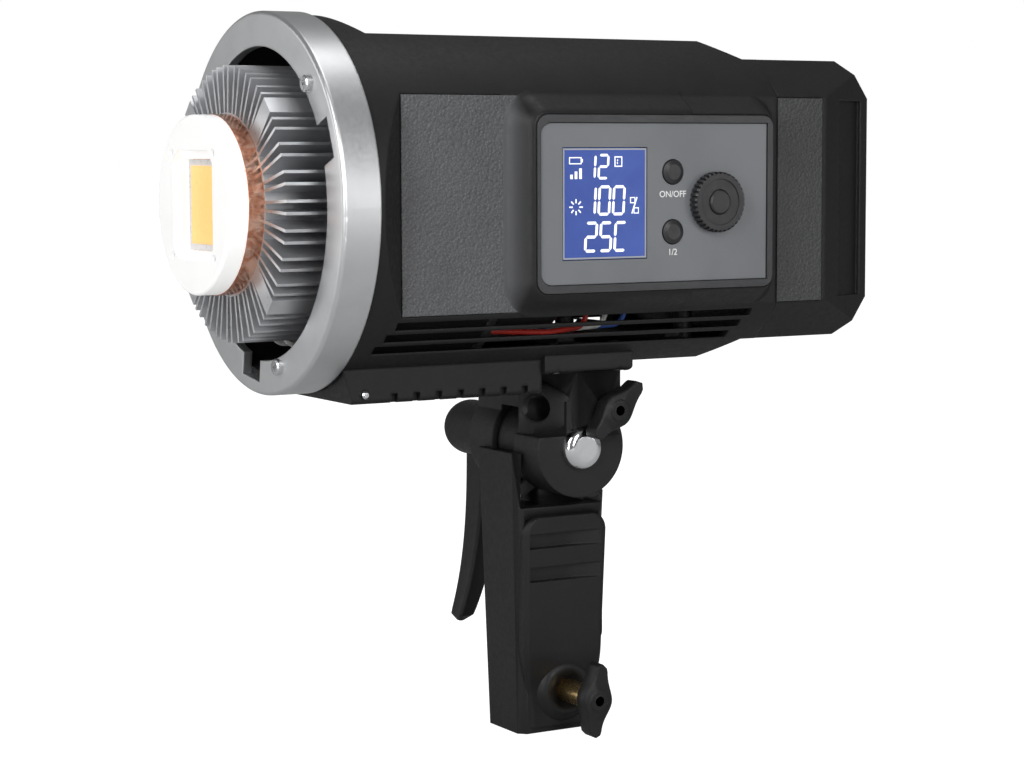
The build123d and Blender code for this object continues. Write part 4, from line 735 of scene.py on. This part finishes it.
def umbrella_boss():
    """Hexagonal boss with a slanted face round the umbrella hole."""
    axis = centre_mm("tilt_bolt")
    hole = next(m for m in frame["record"]["mounts"] if m["name"] == "umbrella_hole")
    hole_x, hole_z = hole["pos_m"][0] / MM, hole["pos_m"][2] / MM
    hole_gap, inner, face_depth, slant, rear_depth = 0.15, 7.7, 15.2, 0.6, 13.2
    radius = hole["dims"]["r_mm"] + hole_gap
    outline = [(inner, 8.6), (15.4, 8.6), (23.8, 4.8), (23.8, -6.0), (11.2, -10.4), (inner, -11.2)]
    outline = [(x, hole_z + dz) for x, dz in outline]

    def front_y(x):
        return axis.y - face_depth + slant * (x - inner)

    boss = Solid("umbrella_boss")
    count = 48
    outer_ring, inner_ring = [], []
    for i in range(count):
        t = 2 * math.pi * i / count
        c, s = math.cos(t), math.sin(t)
        reach = min(crossing(outline, hole_x, hole_z, c, s))
        outer_ring.append((hole_x + reach * c, hole_z + reach * s))
        inner_ring.append((hole_x + radius * c, hole_z + radius * s))
    rear = axis.y + rear_depth
    loops = [
        [(x, rear, z) for x, z in inner_ring],
        [(x, rear, z) for x, z in outer_ring],
        [(x, front_y(x) + 0.5, z) for x, z in outer_ring],
        [(lerp(x, hole_x, 0.05), front_y(x), lerp(z, hole_z, 0.05)) for x, z in outer_ring],
        [(lerp(x, hole_x, -0.06), front_y(x), lerp(z, hole_z, -0.06)) for x, z in inner_ring],
        [(x, front_y(x) + 0.4, z) for x, z in inner_ring],
    ]
    rows = [[boss.shape.verts.new(Vector(point) * MM) for point in loop] for loop in loops]
    for low, high in zip(rows, rows[1:] + rows[:1]):
        for i in range(count):
            j = (i + 1) % count
            boss.shape.faces.new((low[i], low[j], high[j], high[i]))
    boss.finish("casting_black", "head")


def opened_node(name, node, body, slot, levels):
    """A copy of a CAD node with a skinned cutter taken out of it, standing for the node."""
    cutter = Solid(name + "_cutter")
    cutter.rings(levels)
    bmesh.ops.recalc_face_normals(cutter.shape, faces=cutter.shape.faces)
    cut_mesh = bpy.data.meshes.new(cutter.name)
    cutter.shape.to_mesh(cut_mesh)
    cutter.shape.free()
    cut = bpy.data.objects.new(cutter.name, cut_mesh)
    scene.collection.objects.link(cut)
    shape = bmesh.new()
    shape.from_mesh(nodes[node].data)
    bmesh.ops.remove_doubles(shape, verts=shape.verts, dist=WELD * MM)
    mesh = bpy.data.meshes.new(name)
    shape.to_mesh(mesh)
    shape.free()
    piece = bpy.data.objects.new(name, mesh)
    scene.collection.objects.link(piece)
    modifier = piece.modifiers.new("cut", "BOOLEAN")
    modifier.operation = "DIFFERENCE"
    modifier.solver = "EXACT"
    modifier.object = cut
    bpy.context.view_layer.update()
    result = bpy.data.meshes.new_from_object(piece.evaluated_get(bpy.context.evaluated_depsgraph_get()))
    piece.modifiers.clear()
    piece.data = result
    result.shade_smooth()
    result.set_sharp_from_angle(angle=math.radians(CUT_SHARP))
    result.materials.clear()
    result.materials.append(finishes[slot])
    bpy.data.objects.remove(cut)
    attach(piece, body)
    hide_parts(node)


def opened_yoke():
    """The yoke with its near cheek cut back above the disc, so that the slanted boss face shows."""
    axis = centre_mm("tilt_bolt")
    plan = [(7.5, -40), (7.5, -15.0), (23.6, -5.4), (27.4, -3.0), (27.4, -40)]
    low_cut, high_cut = 4.4, 21.6
    levels = [[(x, axis.y + y, axis.z + z) for x, y in plan] for z in (low_cut, high_cut)]
    opened_node("yoke_casting", "tilt_yoke", "head", "casting_black", levels)


def opened_grip():
    """The grip with the bed of its panel cut away, which the panel's own piece fills."""
    plan = [(11.6, -15.8), (20.0, -15.8), (20.0, 13.8), (11.6, 13.8)]
    low_cut, high_cut = 27.0, 75.0
    levels = [[(x, y, z) for x, y in plan] for z in (low_cut, high_cut)]
    opened_node("grip_column", "grip_body", "grip", "grip_black", levels)


def lerp(a, b, share):
    """A value between two others."""
    return a + (b - a) * share


def crossing(outline, x, z, c, s):
    """Distances at which a ray from a point crosses the sides of an outline."""
    found = []
    for (x0, z0), (x1, z1) in zip(outline, outline[1:] + outline[:1]):
        dx, dz = x1 - x0, z1 - z0
        across = c * dz - s * dx
        if abs(across) < 1e-9:
            continue
        reach = ((x0 - x) * dz - (z0 - z) * dx) / across
        along = ((x0 - x) * s - (z0 - z) * c) / across
        if reach > 0 and -1e-6 <= along <= 1 + 1e-6:
            found.append(reach)
    return found


def smooth(share):
    """Eases from nought to one."""
    share = min(1.0, max(0.0, share))
    return share * share * (3 - 2 * share)


def grip_panel():
    """Raised pad over the grip's near side, with two finger grooves that fade out toward the rear."""
    top_z, low_z = 76.0, 2.0
    corner, base_x = 6.5, 11.0
    grooves = (67.5, 56.0)
    half_h, groove_front, groove_rear, deep = 2.5, -15.0, 13.0, 3.0
    step, round_over, rim_drop = 0.06, 1.3, 1.0
    front_y, front_taper, taper_from = -17.4, 4.0, 34
    rear_y, rear_taper = 16.2, 3.4

    def edges(z):
        front = front_y + front_taper * smooth((taper_from - z) / taper_from)
        rear = rear_y - rear_taper * (top_z - z) / top_z
        over = max(0.0, z - top_z + corner)
        inset = corner - math.sqrt(max(0.0, corner ** 2 - over ** 2))
        return front + inset, rear - inset

    def face_x(z):
        return 12.8 + 2.4 * smooth((z - 13) / 15) + 0.35 * z / top_z

    def groove(y, z):
        if not any(abs(z - at) < half_h for at in grooves) or not groove_front < y < groove_rear:
            return 0.0
        share = (y - groove_front) / (groove_rear - groove_front)
        return deep * min(1.0, 0.08 + (1 - share) / 0.42)

    heights = {low_z + (top_z - low_z) * i / 36 for i in range(37)}
    heights |= {top_z - corner + corner * math.sin(math.radians(10 * i)) for i in range(10)}
    for at in grooves:
        heights |= {at - half_h - step, at - half_h + step, at + half_h - step, at + half_h + step}
    heights = sorted(heights)
    shares = [0, 0.012, 0.03, 0.055]
    inner_ys = [groove_front - step, groove_front + step, groove_rear - step, groove_rear + step]
    inner_ys += [-11.0 + 2.2 * i for i in range(11)]
    panel = Solid("grip_panel")
    fronts, backs = [], []
    for z in heights:
        front, rear = edges(z)
        width = rear - front
        ys = [front + width * share for share in shares] + [rear - width * share for share in shares]
        span = (front + width * 0.07, rear - width * 0.07)
        ys += [min(max(y, span[0] + 0.001 * y), span[1] + 0.001 * y) for y in inner_ys]
        row_front, row_back = [], []
        for y in sorted(ys):
            rim = min(y - front, rear - y, 3 * (top_z - z) + 0.02) / round_over
            x = face_x(z) - rim_drop * (1 - smooth(rim)) - groove(y, z)
            row_front.append(panel.shape.verts.new(Vector((x, y, z)) * MM))
            row_back.append(panel.shape.verts.new(Vector((base_x, y, z)) * MM))
        fronts.append(row_front)
        backs.append(row_back)
    for grid in (fronts, backs):
        for low, high in zip(grid, grid[1:]):
            for i in range(len(low) - 1):
                panel.shape.faces.new((low[i], low[i + 1], high[i + 1], high[i]))
    for i in range(len(heights) - 1):
        for k in (0, -1):
            panel.shape.faces.new((fronts[i][k], fronts[i + 1][k], backs[i + 1][k], backs[i][k]))
    for row, back in ((fronts[0], backs[0]), (fronts[-1], backs[-1])):
        for i in range(len(row) - 1):
            panel.shape.faces.new((row[i], row[i + 1], back[i + 1], back[i]))
    panel.finish("grip_black", "grip")


def bulge_blend():
    """The soft S-shaped run-up from the side flat to the control bulge, round its front half."""
    bezel_low, bezel_high = (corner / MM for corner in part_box("control_bezel"))
    flat_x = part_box("side_pad_near")[1].x / MM
    face_x = bezel_high.x - 0.45
    run, spread, corner, margin = 5.95, 2.0, 10.0, 6.0
    tail_length, tail_step, tail_points = 60.0, 12.0, 5
    arc_points, arc_step, across = 13, 7.5, 16
    foot_depth = 0.8
    front = bezel_low.y - margin
    middle_z = (bezel_low.z + bezel_high.z) / 2
    half_h = (bezel_high.z - bezel_low.z) / 2 + margin
    tail = bezel_low.y + tail_length
    path = [((tail - tail_step * i, middle_z + half_h), (0, 1)) for i in range(tail_points)]
    for k in range(arc_points):
        turn = math.radians(90 + arc_step * k)
        c, t = math.cos(turn), math.sin(turn)
        path.append(((front + corner + corner * c, middle_z + half_h - corner + corner * t), (c, t)))
    for k in range(arc_points):
        turn = math.radians(180 + arc_step * k)
        c, t = math.cos(turn), math.sin(turn)
        path.append(((front + corner + corner * c, middle_z - half_h + corner + corner * t), (c, t)))
    for i in reversed(range(tail_points)):
        path.append(((tail - tail_step * i, middle_z - half_h), (0, -1)))
    rings = []
    for (y, z), (ny, nz) in path:
        ring = []
        for k in range(across + 1):
            share = k / across
            out = spread - (run + spread) * share
            x = flat_x - 0.05 + (face_x - flat_x) * smooth(share)
            ring.append((x, y + ny * out, z + nz * out))
        ring.append((flat_x - foot_depth, y - ny * run, z - nz * run))
        ring.append((flat_x - foot_depth, y + ny * spread, z + nz * spread))
        rings.append(ring)
    blend = Solid("bulge_blend")
    blend.rings(rings)
    # The run-up is shell black with a painted sheen toward its foot.
    blend.finish("bulge_film", "head")


def wide_pad():
    """The near grained pad carried on to the foot of the control side's bulge."""
    low, high = (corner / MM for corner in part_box("side_pad_near"))
    pad = Solid("grained_side")
    carried_on, rim_deep, rim_wide = 9.0, 0.15, 0.3
    rings = []
    for x, inset in ((low.x, 0.0), (high.x - rim_deep, 0.0), (high.x, rim_wide)):
        corners = [
            (x, low.y + inset, low.z + inset), (x, high.y + carried_on, low.z + inset),
            (x, high.y + carried_on, high.z - inset), (x, low.y + inset, high.z - inset),
        ]
        rings.append(corners)
    pad.rings(rings)
    piece = pad.finish("grained_pad", "head", smooth=False)
    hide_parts("side_pad_near")


tilt_lever()
umbrella_boss()
opened_yoke()
opened_grip()
grip_panel()
wide_pad()
bulge_blend()
wing_knob("umbrella_wing", "umbrella_knob", "umbrella_knob", -52.0, "umbrella_screw")
wing_knob("stand_wing", "stand_knob", "stand_knob", -13.0, "stand_screw")


# ---- Stage, light and camera ----
def stage():
    """White floor that keeps the object's shadow and shows as bright as the background."""
    reach, gap_mm, white, camera_glow = 6.0, 0.4, 0.55, 0.96
    mesh = bpy.data.meshes.new("floor")
    shape = bmesh.new()
    drop = cad_low.z - gap_mm * MM
    corners = [(-reach, -reach), (reach, -reach), (reach, reach), (-reach, reach)]
    shape.faces.new([shape.verts.new((x, y, drop)) for x, y in corners])
    shape.to_mesh(mesh)
    shape.free()
    floor = bpy.data.objects.new("floor", mesh)
    scene.collection.objects.link(floor)
    material = bpy.data.materials.new("floor_white")
    material.use_nodes = True
    tree = material.node_tree
    shader = tree.nodes["Principled BSDF"]
    shader.inputs["Base Color"].default_value = (white, white, white, 1)
    shader.inputs["Roughness"].default_value = 0.9
    shader.inputs["Specular IOR Level"].default_value = 0.0
    glow = tree.nodes.new("ShaderNodeEmission")
    both = tree.nodes.new("ShaderNodeAddShader")
    path = tree.nodes.new("ShaderNodeLightPath")
    seen = tree.nodes.new("ShaderNodeMath")
    seen.operation = "MULTIPLY"
    seen.inputs[1].default_value = camera_glow
    tree.links.new(path.outputs["Is Camera Ray"], seen.inputs[0])
    tree.links.new(seen.outputs[0], glow.inputs["Strength"])
    tree.links.new(shader.outputs[0], both.inputs[0])
    tree.links.new(glow.outputs[0], both.inputs[1])
    tree.links.new(both.outputs[0], tree.nodes["Material Output"].inputs["Surface"])
    floor.data.materials.append(material)


def world():
    """White where the camera sees it, and a dim grey everywhere else, reflections included."""
    camera_white, light_grey = 1.0, 0.19
    scene.world = bpy.data.worlds.new("studio")
    scene.world.use_nodes = True
    tree = scene.world.node_tree
    tree.nodes.clear()
    output = tree.nodes.new("ShaderNodeOutputWorld")
    seen = tree.nodes.new("ShaderNodeBackground")
    light = tree.nodes.new("ShaderNodeBackground")
    seen.inputs["Color"].default_value = (1, 1, 1, 1)
    seen.inputs["Strength"].default_value = camera_white
    light.inputs["Color"].default_value = (1, 1, 1, 1)
    light.inputs["Strength"].default_value = light_grey
    path = tree.nodes.new("ShaderNodeLightPath")
    mix = tree.nodes.new("ShaderNodeMixShader")
    tree.links.new(path.outputs["Is Camera Ray"], mix.inputs["Fac"])
    tree.links.new(light.outputs[0], mix.inputs[1])
    tree.links.new(seen.outputs[0], mix.inputs[2])
    tree.links.new(mix.outputs[0], output.inputs["Surface"])


def softbox(name, place, aim, width, height, watts):
    """A rectangular lamp turned to its aim."""
    lamp = bpy.data.lights.new(name, "AREA")
    lamp.shape = "RECTANGLE"
    lamp.size = width
    lamp.size_y = height
    lamp.energy = watts
    holder = bpy.data.objects.new(name, lamp)
    scene.collection.objects.link(holder)
    holder.location = place
    holder.rotation_mode = "QUATERNION"
    holder.rotation_quaternion = (Vector(aim) - Vector(place)).to_track_quat("-Z", "Y")


def camera():
    """The photograph's viewpoint, from a perspective fit of the ring, the flats and the panel."""
    target = Vector((0.0525, -0.0307, 0.1249))
    distance = 0.79785
    azimuth, elevation, roll = math.radians(59.16), math.radians(5.55), math.radians(-0.13)
    level = math.cos(elevation)
    back = Vector((math.sin(azimuth) * level, -math.cos(azimuth) * level, math.sin(elevation)))
    data = bpy.data.cameras.new("camera")
    data.sensor_width = 36.0
    data.lens = 86.73
    data.shift_x = -0.0334
    data.shift_y = 0.0026
    holder = bpy.data.objects.new("camera", data)
    scene.collection.objects.link(holder)
    holder.location = target + back * distance
    holder.rotation_mode = "QUATERNION"
    facing = (-back).to_track_quat("-Z", "Y")
    holder.rotation_quaternion = facing @ Matrix.Rotation(roll, 3, "Z").to_quaternion()
    scene.camera = holder


stage()
world()
middle = (cad_low + cad_high) / 2
softbox("key", (0.55, -1.15, 0.95), middle, 0.8, 0.6, 6.5)
softbox("side", (1.35, -0.05, 0.60), middle, 0.35, 0.9, 8.0)
softbox("top", (0.1, 0.2, 1.5), middle, 1.0, 0.5, 3.5)
softbox("front", (-0.75, -0.95, 0.35), middle, 0.5, 0.8, 2.3)
softbox("front_strip", (0.80, -1.30, 0.10), middle, 0.26, 1.3, 9.0)
softbox("rear_strip", (1.25, 0.78, 0.10), middle, 0.25, 1.0, 2.6)
camera()
scene.view_settings.view_transform = "Standard"
